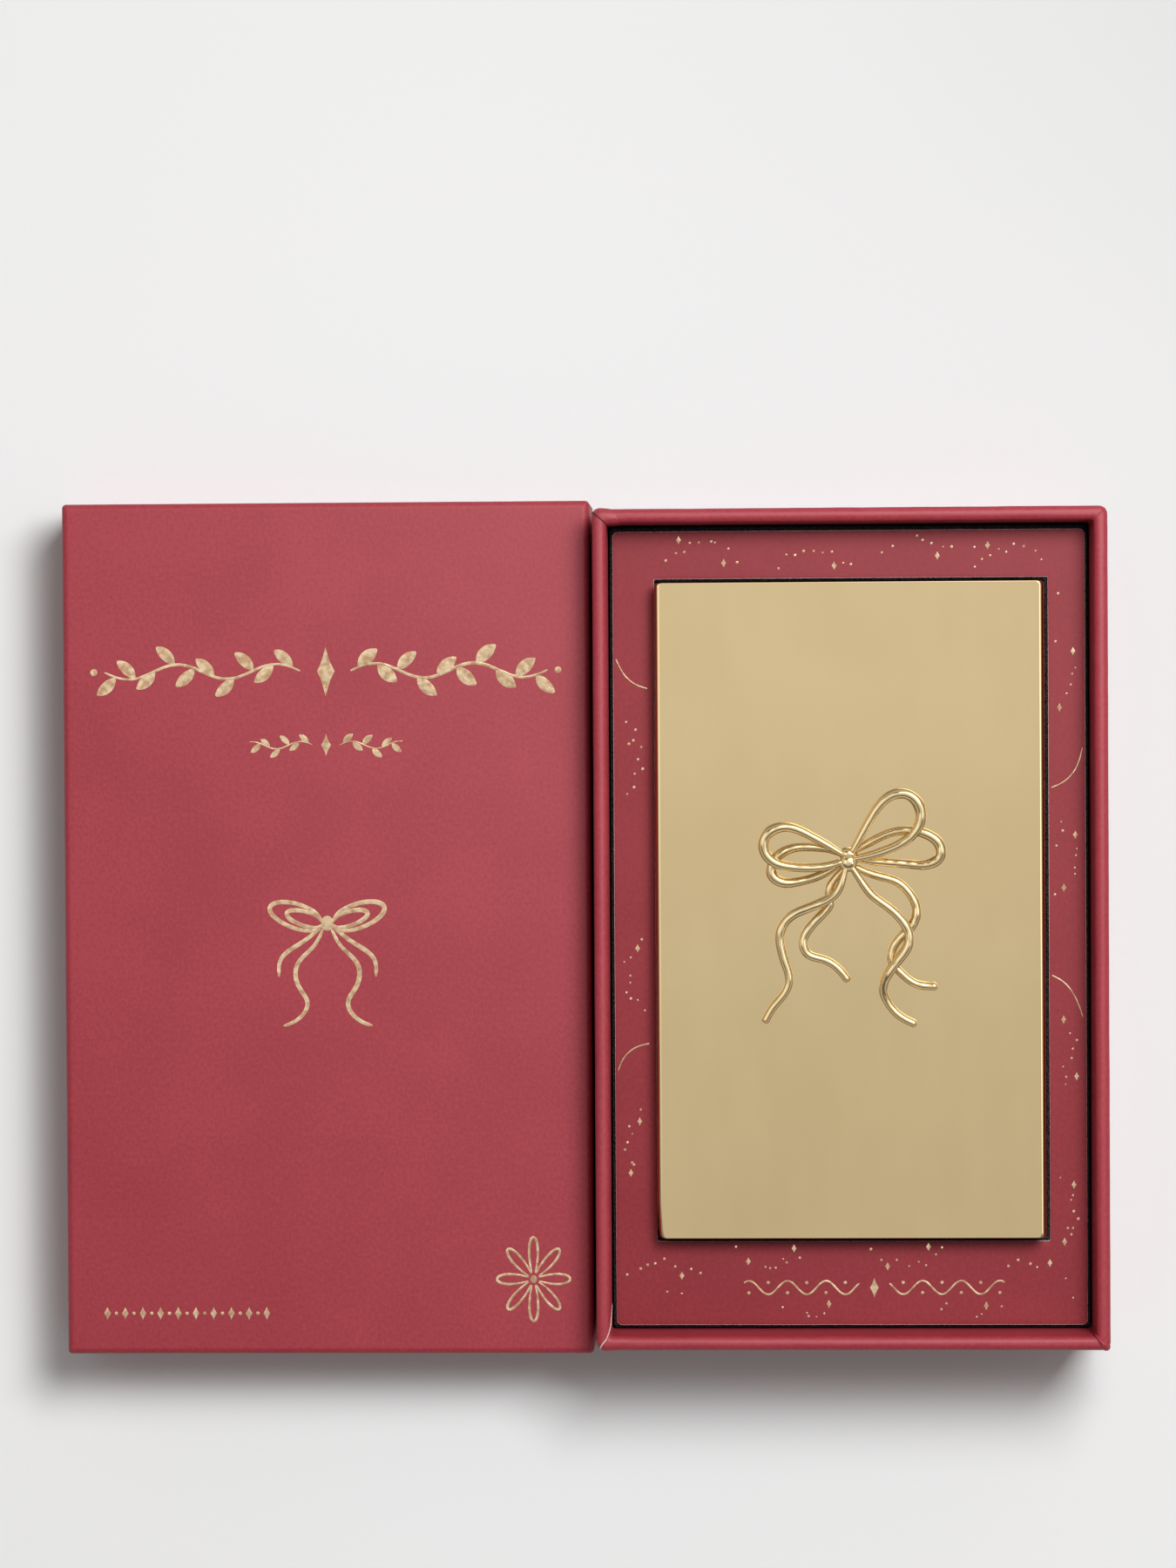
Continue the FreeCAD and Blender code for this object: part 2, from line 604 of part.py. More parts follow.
def make_wire(label, route, knot):
    """A round wire swept along its bent path and trimmed where it enters the knot."""
    points = bow_points(**route)
    spine = doc.addObject("Part::Feature", f"{label}_path")
    spine.Shape = bent_path(points)
    section = doc.addObject("Part::Circle", f"{label}_section")
    section.setExpression("Radius", "Sizes.bow_wire / 2")
    facing = FreeCAD.Rotation(FreeCAD.Vector(0, 0, 1), points[1] - points[0])
    section.Placement = FreeCAD.Placement(points[0], facing)
    sweep = doc.addObject("Part::Sweep", f"{label}_sweep")
    sweep.Sections = [section]
    sweep.Spine = (spine, [f"Edge{number}" for number in range(1, len(spine.Shape.Edges) + 1)])
    sweep.Solid = True
    return combine("Part::Cut", label, sweep, knot)


def make_bow():
    knot = make_knot()
    return [knot] + [make_wire(label, route, knot) for label, route in BOW_WIRES.items()]


pieces = make_tray() + make_insert() + [make_sleeve()] + make_bow() + make_lid()
doc.recompute()

for item in doc.Objects:
    if "Invalid" in item.State or "Error" in item.State:
        raise RuntimeError(f"{item.Name} failed: {item.State}")
for piece in pieces:
    if piece.Shape.isNull() or not piece.Shape.isValid() or not piece.Shape.Solids:
        raise RuntimeError(f"{piece.Label} has no valid solid")

os.makedirs("parts", exist_ok=True)
for piece in pieces:
    piece.Shape.exportStep(f"parts/{piece.Label}.step")
    print(piece.Label, len(piece.Shape.Solids), round(piece.Shape.Volume, 2))
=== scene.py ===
import math

import bmesh
import bpy
import numpy as np
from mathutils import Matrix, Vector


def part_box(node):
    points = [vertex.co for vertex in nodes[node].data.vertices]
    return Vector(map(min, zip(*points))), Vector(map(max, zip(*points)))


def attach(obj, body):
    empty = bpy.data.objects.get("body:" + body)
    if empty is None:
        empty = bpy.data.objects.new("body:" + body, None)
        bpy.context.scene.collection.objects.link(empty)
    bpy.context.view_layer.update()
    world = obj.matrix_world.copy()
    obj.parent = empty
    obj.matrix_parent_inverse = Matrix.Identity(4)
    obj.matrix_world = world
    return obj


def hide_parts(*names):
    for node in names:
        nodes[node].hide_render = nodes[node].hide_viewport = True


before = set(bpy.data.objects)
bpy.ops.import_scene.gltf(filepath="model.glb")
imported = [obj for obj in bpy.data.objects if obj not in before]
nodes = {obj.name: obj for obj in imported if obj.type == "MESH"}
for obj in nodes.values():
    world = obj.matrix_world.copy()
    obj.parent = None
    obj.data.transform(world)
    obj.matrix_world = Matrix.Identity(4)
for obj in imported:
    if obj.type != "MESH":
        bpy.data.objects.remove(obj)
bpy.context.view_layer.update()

# Metres in a millimetre
MM = 0.001

# Sizes of the dressed pieces in millimetres
PAPER = 0.15
WALL = 2.49
TRAY_CORNER = 1.5
TRAY_INNER_CORNER = 0.4
TRAY_RIM_ROUND = 1.2
TRAY_FOOT_ROUND = 0.4
TRAY_TURN_UNDER = 2.3
TRAY_TURN_IN = 16.0
TRAY_PLAY = 0.035
SWAY_HEIGHTS = (8.0, 28.0)
LIFT_HEIGHTS = (24.0, 30.0)
FOLD_SINK = 0.02
FOLD_UNDER = 0.06
LID_WALL = 1.79
LID_CORNER = 0.75
LID_LEAST_CORNER = 0.02
LID_EDGE_ROUND = 1.2
LID_RIM_ROUND = 0.7
LID_TURN_IN = 13.0
LID_PULL = 0.03
LID_PULL_RUN = 3.0
LID_SWELL = 0.05
LID_SWELL_RUN = 0.3
LID_NEAR_EDGE = (2.0, 1.5)
FOAM_EASE = 0.02
FOAM_CORNER = 0.8
FOAM_ROUND = 0.7
WELL_HALF = (34.3, 57.8)
WELL_CENTRE = (0.0, 3.2)
WELL_CORNER = 0.6
PAD_CORNER = 0.9
PAD_LEAST_CORNER = 0.05
CARD_CORNER = 1.0
CARD_EDGE_ROUND = 0.07
CARD_EASE = 0.28
CARD_HEAD_EASE = 0.3
WINDOW_HALF = (34.56, 58.4)
WINDOW_CENTRE = (0.4, 3.05)
WINDOW_CORNER = 0.3
SHEET = 0.8
FOLD_ROUND = 1.1
LEFT_FOLD_ROUND = 0.88
CUT_ROUND = 0.16
PLAN_ROUND = 0.7
NEAR_SIDE = (29.0, 32.0)
PINCH = 0.4
PINCH_RUN = 6.0
STRIKER_LOW = np.array([-42.8, 9.77])
STRIKER_HIGH = np.array([49.2, 20.77])
STRIKER_ROUND = 2.0
STRIKER_EDGE = 0.12
STRIKER_APRON = 2.0
WIRE = 0.71
WIRE_STEP = 1.46
WIRE_TAPER = 5.0
WIRE_ROUNDS = (0.5, 0.55)
FOIL_HIGH = 0.022
LID_FOIL_SUNK = 0.01
CARD_FOIL_SUNK = 0.008

# Shares: a fold's fade at its ends, the rings on the lid's top and under it, the card's unevenness along its
# edge, the wire's along its length, and the wire roots' reach in the knot
FOLD_FADE = 0.12
LID_TOP_RINGS = np.array([0, 0.08, 0.18, 0.3, 0.43, 0.56, 0.68, 0.79, 0.88, 0.94])
LID_UNDER_RINGS = np.array([0.9, 0.6, 0.3, 0])
CARD_UNEVEN = 0.0004
WIRE_UNEVEN = 0.04
ROOT_SHARE = 0.6

# Powers of the foil's outlines, for a dot and for a lozenge with hollow sides
DOT = 2.0
LOZENGE = 0.85

# Stations on each side and corner of a ring, over a plate's rounded edge and across its faces
SIDE_STATIONS = 61
CORNER_STATIONS = 15
EDGE_STATIONS = 5
FOAM_FILL = 10
CARD_FILL = 14

# Stations along a wire, and sides of a wire and of a foil stroke
WIRE_STATIONS = 150
WIRE_SIDES = 18
FOIL_SIDES = 8

# First and last station of the tray's section that a fold covers
FOLD_FIRST = 12
FOLD_LAST = 39

# Distances in metres below which points are merged and slivers dissolved, and a least length to divide by
MERGE = 2e-7
SLIVER = 1e-8
TINY = 1e-9


def box_mm(node):
    """Lowest and highest corner of a CAD node, in millimetres."""
    low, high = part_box(node)
    return np.array(low) / MM, np.array(high) / MM


tray_low, tray_high = box_mm("tray_wrap")
lid_low, lid_high = box_mm("lid_wrap")
card_low, card_high = box_mm("insert_card")
foam_low, foam_high = box_mm("foam_frame")
pad_low, pad_high = box_mm("foam_pad")
sleeve_low, sleeve_high = box_mm("sleeve_shell")
knot_low, knot_high = box_mm("bow_knot")
lid_centre = (lid_low + lid_high) / 2
sleeve_centre = (sleeve_low + sleeve_high) / 2


# Meshes from grids
def grid_faces(rows, columns, close_rows, close_columns):
    """Four-cornered faces of a grid numbered row by row; a closed way joins its last line to its first."""
    row = np.arange(rows if close_rows else rows - 1)
    column = np.arange(columns if close_columns else columns - 1)
    low_row, low_column = np.meshgrid(row, column, indexing="ij")
    high_row = (low_row + 1) % rows
    high_column = (low_column + 1) % columns
    corners = [
        low_row * columns + low_column,
        low_row * columns + high_column,
        high_row * columns + high_column,
        high_row * columns + low_column,
    ]
    return np.stack(corners, axis=-1).reshape(-1, 4)


def patch(points, close_rows=False, close_columns=False, finish=0):
    """One grid of points, or many grids of one size, with its faces and each face's finish number."""
    points = np.asarray(points, dtype=float)
    rows, columns = points.shape[-3:-1]
    faces = grid_faces(rows, columns, close_rows, close_columns)
    copies = points.size // (3 * rows * columns)
    step = np.arange(copies)[:, None, None] * rows * columns
    finishes = np.tile(np.broadcast_to(finish, len(faces)), copies)
    return points.reshape(-1, 3), (faces[None] + step).reshape(-1, 4), finishes


def make_piece(name, patches, finishes, body, stands_for=(), sharp=40.0):
    """Join grids into one closed mesh in metres, merge the points where they meet, and register the piece."""
    starts = np.cumsum([0] + [len(points) for points, _, _ in patches])
    points = np.concatenate([points for points, _, _ in patches]) * MM
    faces = np.concatenate([faces + start for (_, faces, _), start in zip(patches, starts)])
    mesh = bpy.data.meshes.new(name)
    mesh.from_pydata(points.tolist(), [], faces.tolist())
    mesh.polygons.foreach_set("material_index", np.concatenate([number for _, _, number in patches]))
    shape = bmesh.new()
    shape.from_mesh(mesh)
    bmesh.ops.remove_doubles(shape, verts=shape.verts, dist=MERGE)
    bmesh.ops.dissolve_degenerate(shape, edges=shape.edges, dist=SLIVER)
    bmesh.ops.recalc_face_normals(shape, faces=shape.faces)
    shape.to_mesh(mesh)
    shape.free()
    mesh.shade_smooth()
    mesh.set_sharp_from_angle(angle=math.radians(sharp))
    for finish in finishes:
        mesh.materials.append(finish)
    piece = bpy.data.objects.new(name, mesh)
    bpy.context.scene.collection.objects.link(piece)
    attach(piece, body)
    if stands_for:
        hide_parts(*stands_for)
    return piece


def waves(place, seed, longest, shortest, count=7):
    """The mean of some sines of a distance, with seeded wavelengths between two limits and seeded phases."""
    draw = np.random.default_rng(seed)
    length = np.exp(draw.uniform(math.log(shortest), math.log(longest), count))
    phase = draw.uniform(0, 2 * math.pi, count)
    return np.sin(2 * math.pi * np.asarray(place)[..., None] / length + phase).mean(axis=-1)


def ramp(value, low, high):
    """Nought below low, one above high, straight between."""
    return np.clip((value - low) / (high - low), 0, 1)


def raised(plan, height):
    """Places in plan, each with its height."""
    return np.concatenate([plan, np.broadcast_to(height, plan.shape[:-1])[..., None]], axis=-1)


def ring(half_x, half_y, corner, centre=(0.0, 0.0)):
    """A rounded rectangle as stations anticlockwise from the right side, closest together near the corners;
    arrays of half sizes and corner radii give one ring each."""
    sizes = [np.asarray(size, float)[..., None] for size in (half_x, half_y, corner)]
    half_x, half_y, corner = np.broadcast_arrays(*sizes)
    along = np.sin(np.linspace(-math.pi / 2, math.pi / 2, SIDE_STATIONS))
    turn = np.linspace(0, math.pi / 2, CORNER_STATIONS + 2)[1:-1]
    run_x = along * (half_x - corner)
    run_y = along * (half_y - corner)
    far_x = half_x + 0 * along
    far_y = half_y + 0 * along
    arc_x = half_x - corner + corner * np.cos(turn)
    arc_y = half_y - corner + corner * np.sin(turn)
    x = [far_x, arc_x, -run_x, -arc_x[..., ::-1], -far_x, -arc_x, run_x, arc_x[..., ::-1]]
    y = [run_y, arc_y, far_y, arc_y[..., ::-1], -run_y, -arc_y, -far_y, -arc_y[..., ::-1]]
    return np.stack([np.concatenate(x, -1) + centre[0], np.concatenate(y, -1) + centre[1]], axis=-1)


def ring_length(line):
    """Distance along a ring of points up to each station."""
    step = np.linalg.norm(np.diff(line, axis=0), axis=1)
    return np.concatenate([[0], np.cumsum(step)])


def arc(start, end, count):
    """Cosines and sines of equal steps from one angle to another, in degrees."""
    turn = np.radians(np.linspace(start, end, count))
    return np.cos(turn), np.sin(turn)


def smooth_line(points, share):
    """Points at given shares of the length of the natural cubic spline through some points."""
    points = np.asarray(points, dtype=float)
    step = np.linalg.norm(np.diff(points, axis=0), axis=1)
    length = np.concatenate([[0], np.cumsum(step)])
    inner = np.arange(1, len(points) - 1)
    system = np.eye(len(points))
    system[inner, inner - 1] = step[:-1]
    system[inner, inner] = 2 * (step[:-1] + step[1:])
    system[inner, inner + 1] = step[1:]
    pull = np.zeros_like(points)
    pull[1:-1] = 6 * np.diff(np.diff(points, axis=0) / step[:, None], axis=0)
    bend = np.linalg.solve(system, pull)
    at = np.asarray(share) * length[-1]
    low = np.clip(np.searchsorted(length, at, side="right") - 1, 0, len(points) - 2)
    gap = step[low][:, None]
    before = (length[low + 1] - at)[:, None]
    after = (at - length[low])[:, None]
    curve = (bend[low] * before**3 + bend[low + 1] * after**3) / (6 * gap)
    first = (points[low] / gap - bend[low] * gap / 6) * before
    last = (points[low + 1] / gap - bend[low + 1] * gap / 6) * after
    return curve + first + last


def tube(path, wide, high, sides):
    """An oval carried along a path: wide is its level half size and high its upright one, and sizes of nought
    close its ends."""
    along = np.gradient(path, axis=0)
    along /= np.linalg.norm(along, axis=1, keepdims=True)
    across = np.cross(along, (0.0, 0.0, 1.0))
    across /= np.linalg.norm(across, axis=1, keepdims=True)
    over = np.cross(across, along)
    turn = np.linspace(0, 2 * math.pi, sides, endpoint=False)[None, :, None]
    wide = np.broadcast_to(wide, len(path))[:, None, None]
    high = np.broadcast_to(high, len(path))[:, None, None]
    return path[:, None] + wide * np.cos(turn) * across[:, None] + high * np.sin(turn) * over[:, None]


def tip_shares(length, round_start, round_end, count):
    """Shares of a length, closer together over a rounded tip at each end."""
    quarter = 1 - np.cos(np.linspace(0, math.pi / 2, 7))
    start = quarter * round_start / length
    end = 1 - quarter[::-1] * round_end / length
    return np.concatenate([start[:-1], np.linspace(start[-1], end[0], count), end[1:]])


def tip_rounding(share, length, round_start, round_end):
    """One along a strand and the height of a quarter circle over each end's rounded length."""
    start = ramp(share * length, 0.0, round_start)
    end = ramp((1 - share) * length, 0.0, round_end)
    return np.sqrt(np.maximum(1 - (1 - start) ** 2, 0)) * np.sqrt(np.maximum(1 - (1 - end) ** 2, 0))


# Finishes
class Field:
    """A socket of a material's nodes: arithmetic on it adds Math nodes, and node() adds any other node."""

    def __init__(self, tree, socket=None):
        self.tree = tree
        self.socket = socket

    def node(self, kind, inputs, settings=None, output=0):
        """Add a node, set its settings, then its sockets' values or links, and give one output, if any."""
        made = self.tree.nodes.new(kind)
        for name, value in (settings or {}).items():
            setattr(made, name, value)
        for name, value in inputs.items():
            if isinstance(value, Field):
                self.tree.links.new(value.socket, made.inputs[name])
            else:
                made.inputs[name].default_value = value
        return Field(self.tree, None if output is None else made.outputs[output])

    def maths(self, operation, first, second):
        return self.node("ShaderNodeMath", {0: first, 1: second}, {"operation": operation})

    def vector(self, operation, first, second=(0.0, 0.0, 0.0), output=0):
        """A step of vector arithmetic; a distance, length or product is its output named Value."""
        return self.node("ShaderNodeVectorMath", {0: first, 1: second}, {"operation": operation}, output)

    def __add__(self, other):
        return self.maths("ADD", self, other)

    def __radd__(self, other):
        return self.maths("ADD", other, self)

    def __sub__(self, other):
        return self.maths("SUBTRACT", self, other)

    def __rsub__(self, other):
        return self.maths("SUBTRACT", other, self)

    def __mul__(self, other):
        return self.maths("MULTIPLY", self, other)

    def __rmul__(self, other):
        return self.maths("MULTIPLY", other, self)

    def place(self):
        """Object coordinates, in metres."""
        return self.node("ShaderNodeTexCoord", {}, output="Object")

    def noise(self, where, scale, detail=2.0):
        """Cloudy noise from nought to one, with scale features to the metre."""
        return self.node("ShaderNodeTexNoise", {"Vector": where, "Scale": scale, "Detail": detail})

    def stretched(self, where, scale):
        """A place with each axis multiplied on its own."""
        return self.vector("MULTIPLY", where, scale)

    def blend(self, factor, first, second):
        """A mix of two colours."""
        return self.node("ShaderNodeMix", {0: factor, 6: first, 7: second}, {"data_type": "RGBA"}, output=2)

    def bump(self, height, depth):
        """A normal pushed about by a height from nought to one, for a depth in metres."""
        return self.node("ShaderNodeBump", {"Height": height, "Distance": depth, "Strength": 1.0})

    def ramp(self, factor, low, high, course="LINEAR"):
        """Nought below low, one above high, and straight between unless another course is named."""
        inputs = {"Value": factor, "From Min": low, "From Max": high}
        return self.node("ShaderNodeMapRange", inputs, {"interpolation_type": course})

    def steps(self, factor, low, high):
        """Nought below low, one above high, smooth between."""
        return self.ramp(factor, low, high, "SMOOTHSTEP")


def colour(red, green, blue):
    return (red, green, blue, 1.0)


def make_finish(name, looks):
    """A material whose looks, a function of its first field, give the surface shader's inputs."""
    made = bpy.data.materials.new(name)
    made.use_nodes = True
    made.node_tree.nodes.clear()
    start = Field(made.node_tree)
    surface = start.node("ShaderNodeBsdfPrincipled", looks(start))
    start.node("ShaderNodeOutputMaterial", {"Surface": surface}, output=None)
    return made


def paper_looks(dark, light, roughness, depth, sheen=0.5):
    """Coated paper: a fine grain of about a millimetre over slow clouds of tone, and a slight eggshell."""

    def looks(start):
        where = start.place()
        grain = start.noise(where, 1500.0, 3.0)
        fibre = start.noise(start.stretched(where, (1.0, 0.35, 1.0)), 2600.0, 2.0)
        cloud = start.noise(where, 55.0, 2.0)
        tone = start.steps(0.5 * grain + 0.25 * fibre + 0.25 * cloud, 0.34, 0.66)
        return {
            "Base Color": start.blend(tone, dark, light),
            "Roughness": roughness + 0.12 * (grain - 0.5),
            "Normal": start.bump(0.7 * grain + 0.3 * fibre, depth),
            "Specular IOR Level": sheen,
        }

    return looks


def metal_looks(deep, pale, roughness, depth):
    """Polished plating: faint slow waves in the sheet, and wiped patches a little duller than the rest."""

    def looks(start):
        where = start.place()
        cloud = start.noise(where, 38.0, 2.0)
        wiped = start.noise(start.stretched(where, (1.0, 0.3, 1.0)), 160.0, 3.0)
        speck = start.noise(where, 2400.0, 2.0)
        tone = start.steps(0.6 * cloud + 0.4 * wiped, 0.3, 0.7)
        return {
            "Base Color": start.blend(tone, deep, pale),
            "Metallic": 1.0,
            "Roughness": roughness + 0.07 * (wiped - 0.5) + 0.04 * (speck - 0.5),
            "Normal": start.bump(cloud + 0.04 * speck, depth),
        }

    return looks


def foil_looks(start):
    """Hot-stamped foil: creased at a fraction of a millimetre, so that parts of each stroke flash or
    darken; its tone changes from patch to patch."""
    where = start.place()
    crease = start.noise(where, 2300.0, 2.0)
    dent = start.noise(where, 480.0, 1.0)
    tone = start.steps(start.noise(where, 700.0, 1.0), 0.34, 0.62)
    return {
        "Base Color": start.blend(tone, colour(0.66, 0.41, 0.24), colour(0.91, 0.70, 0.45)),
        "Metallic": 1.0,
        "Roughness": 0.21 + 0.12 * crease,
        "Normal": start.bump(0.88 * dent + 0.12 * crease, 0.0002),
    }


def board_looks(dark, light, depth):
    """Pulp board or unbleached paper: short fibres of a few tones, quite dull."""

    def looks(start):
        where = start.place()
        fibre = start.noise(start.stretched(where, (1.0, 0.4, 1.0)), 1900.0, 4.0)
        speck = start.noise(where, 700.0, 2.0)
        return {
            "Base Color": start.blend(start.steps(0.6 * fibre + 0.4 * speck, 0.3, 0.7), dark, light),
            "Roughness": 0.82 + 0.12 * (fibre - 0.5),
            "Normal": start.bump(fibre, depth),
        }

    return looks


def foam_looks(start):
    """Black packing foam: open cells of about half a millimetre with paler rims."""
    where = start.place()
    cell = start.node("ShaderNodeTexVoronoi", {"Vector": where, "Scale": 2100.0}, output="Distance")
    uneven = start.noise(where, 260.0, 3.0)
    rim = start.steps(cell, 0.1, 0.75)
    tone = 0.75 * rim + 0.25 * uneven
    return {
        "Base Color": start.blend(tone, colour(0.004, 0.004, 0.0045), colour(0.022, 0.021, 0.022)),
        "Roughness": 0.86 + 0.1 * (uneven - 0.5),
        "Normal": start.bump(rim + 0.4 * uneven, 0.00025),
        "Specular IOR Level": 0.25,
    }


rose_paper = make_finish("rose_paper_print", paper_looks(
    colour(0.282, 0.020, 0.033), colour(0.346, 0.032, 0.047), roughness=0.54, depth=0.000030, sheen=0.45
))
rose_card = make_finish("rose_card_print", paper_looks(
    colour(0.214, 0.016, 0.024), colour(0.258, 0.024, 0.033), roughness=0.58, depth=0.000018, sheen=0.3
))
# A painted shadow: dark paper laid along the crease at the tray's top left corner, where the lap's edge
# shades the rim.
painted_crease_shadow = make_finish("painted_crease_shadow", paper_looks(
    colour(0.060, 0.004, 0.008), colour(0.085, 0.007, 0.012), roughness=0.7, depth=0.000020
))
paper_core = make_finish("paper_cut_edge", paper_looks(
    colour(0.55, 0.38, 0.37), colour(0.72, 0.56, 0.54), roughness=0.75, depth=0.000020
))
gold_sheet = make_finish("gold_sheet", metal_looks(
    colour(0.79, 0.61, 0.335), colour(0.83, 0.645, 0.36), roughness=0.085, depth=0.000016
))
gold_wire = make_finish("gold_wire", metal_looks(
    colour(0.88, 0.67, 0.35), colour(0.94, 0.76, 0.45), roughness=0.17, depth=0.000012
))
gold_foil = make_finish("gold_foil", foil_looks)
grey_board = make_finish("grey_board", board_looks(
    colour(0.30, 0.275, 0.24), colour(0.46, 0.43, 0.385), depth=0.000040
))
stay_paper = make_finish("stay_paper", board_looks(
    colour(0.50, 0.41, 0.29), colour(0.68, 0.58, 0.44), depth=0.000020
))
black_foam = make_finish("black_foam_cells", foam_looks)


# Tray
def tray_section():
    """The wrapping's section as shares of the way from the wall's inner to its outer face, distances
    outwards from there, and heights: under the floor, up the outside, over the rounded rim, down the
    inside, and back a paper's thickness within."""
    top = tray_high[2]
    low = tray_low[2]
    bend = TRAY_RIM_ROUND
    foot = TRAY_FOOT_ROUND
    thin = bend - PAPER
    cos_up, sin_up = arc(0, 90, 10)
    cos_foot, sin_foot = arc(-60, -15, 3)
    outer_rise = np.linspace(low + foot, top - bend, 10)[:-1]
    inner_drop = np.linspace(top - bend, top - TRAY_TURN_IN, 9)[1:]
    share = []
    away = []
    height = []

    def add(part, offset, level):
        offset, level = np.broadcast_arrays(np.atleast_1d(offset), np.atleast_1d(level))
        share.append(np.full(len(offset), float(part)))
        away.append(offset)
        height.append(level)

    add(1, [-TRAY_TURN_UNDER, -foot], low)
    add(1, -foot + foot * cos_foot, low + foot + foot * sin_foot)
    add(1, 0.0, outer_rise)
    add(1, bend * (cos_up - 1), top - bend + bend * sin_up)
    add(0.5, 0.0, top)
    add(0, bend * (1 - sin_up), top - bend + bend * cos_up)
    add(0, 0.0, inner_drop)
    add(0, PAPER, inner_drop[::-1])
    add(0, PAPER + thin * (1 - cos_up), top - bend + thin * sin_up)
    add(1, -PAPER - thin * (1 - sin_up), top - bend + thin * cos_up)
    add(1, -PAPER, outer_rise[::-1])
    add(1, [-foot, -TRAY_TURN_UNDER], low + PAPER)
    return np.concatenate(share), np.concatenate(away), np.concatenate(height)


def tray_cover_grid():
    """Each station of the wall's inner ring and the same station of its outer ring carry the section between
    them; slow waves along the wall move the paper by a few hundredths."""
    outer = ring(tray_high[0], tray_high[1], TRAY_CORNER)
    inner = ring(tray_high[0] - WALL, tray_high[1] - WALL, TRAY_INNER_CORNER)
    outward = outer - inner
    thick = np.linalg.norm(outward, axis=1, keepdims=True)
    outward /= thick
    share, away, height = tray_section()
    reach = share[None] * thick + away[None]
    run = ring_length(outer)
    sway = TRAY_PLAY * waves(run, 3, 60.0, 6.0)[:, None] * ramp(height, *SWAY_HEIGHTS)
    lift = -TRAY_PLAY * (1 + waves(run, 4, 70.0, 5.0))[:, None] * ramp(height, *LIFT_HEIGHTS)
    flat = inner[:, None] + outward[:, None] * (reach + sway)[..., None]
    return raised(flat, height[None] + lift)


tray_cover = tray_cover_grid()
make_piece(
    "tray_cover", [patch(tray_cover, True, True)], [rose_paper], "tray", ["tray_wrap"],
    sharp=50.0,
)


def tray_normals(grid):
    """Unit normals of the cover's grid, out of the paper."""
    along = np.roll(grid, -1, axis=0) - np.roll(grid, 1, axis=0)
    around = np.roll(grid, -1, axis=1) - np.roll(grid, 1, axis=1)
    normal = np.cross(along, around)
    return normal / np.maximum(np.linalg.norm(normal, axis=-1, keepdims=True), TINY)


tray_normal = tray_normals(tray_cover)


def fold_patch(corner, start, end, height, edge, ridge, shows=1):
    """A strip of paper on the tray's cover near one corner, from the top of the outer face over the rim
    to the inner face. It reaches from a start line to an end line, each given by distances along the wall
    from the middle of the corner on the outside, at the rim and inside. A lap is as thick as its height
    at its start and sinks into the cover at its end; a ridge rises like half a wave between both. The
    first edge columns have the finish that shows there: the paper's core, or a dark painted shadow of
    the lap's edge along the crease."""
    rows = np.arange(FOLD_FIRST, FOLD_LAST + 1)
    share = np.linspace(0, 1, len(rows))
    begin = np.interp(share, [0, 0.5, 1], start)[:, None]
    finish_line = np.interp(share, [0, 0.5, 1], end)[:, None]
    step = np.concatenate([[0, 0.03, 0.07], np.linspace(0.12, 1, 16)])[None]
    if ridge:
        lift = height * np.sin(math.pi * step) - FOLD_SINK
    else:
        lift = height * (1 - step**3) - FOLD_SINK * step
    fade = np.sqrt(ramp(np.minimum(share, 1 - share), 0.0, FOLD_FADE))[:, None]
    lift = lift * fade - FOLD_SINK * (1 - fade)
    place = begin + (finish_line - begin) * step
    run = ring_length(ring(tray_high[0], tray_high[1], TRAY_CORNER))
    middle_station = corner * (SIDE_STATIONS + CORNER_STATIONS) + SIDE_STATIONS + CORNER_STATIONS // 2
    station = np.interp(run[middle_station] + place, run, np.arange(len(run)))
    low = np.clip(np.floor(station).astype(int), 0, len(run) - 2)
    part = (station - low)[..., None]
    line = rows[:, None]

    def sample(grid):
        return grid[low, line] * (1 - part) + grid[low + 1, line] * part

    foot = sample(tray_cover)
    normal = sample(tray_normal)
    top = foot + normal * lift[..., None]
    under = foot - normal * FOLD_UNDER
    loop = np.concatenate([top, under[:, ::-1]], axis=1)
    columns = loop.shape[1]
    core = np.zeros(columns, dtype=int)
    core[:edge] = shows
    core[-1] = shows if edge else 0
    if end[1] < start[1]:
        loop = loop[:, ::-1]
        core = np.roll(core[::-1], -1)
    caps = np.stack([top, under], axis=0)
    return [
        patch(loop, False, True, np.tile(core, len(rows) - 1)),
        patch(caps[:, 0]),
        patch(caps[:, -1]),
    ]


tray_folds = (
    fold_patch(0, (-0.35, -0.25, -0.2), (0.35, 0.3, 0.25), height=0.07, edge=0, ridge=True)
    # The top left lap's first edge columns carry the painted shadow along the crease.
    + fold_patch(1, (0.5, 0.2, 0.0), (-3.2, -3.4, -3.6), height=0.26, edge=2, ridge=False, shows=2)
    + fold_patch(2, (0.45, -0.6, -5.6), (4.0, 4.4, 5.0), height=0.15, edge=2, ridge=False)
    + fold_patch(3, (-1.0, -0.9, -0.7), (0.7, 0.6, 0.5), height=0.42, edge=0, ridge=True)
)
make_piece("tray_folds", tray_folds, [rose_paper, paper_core, painted_crease_shadow], "tray", sharp=60.0)


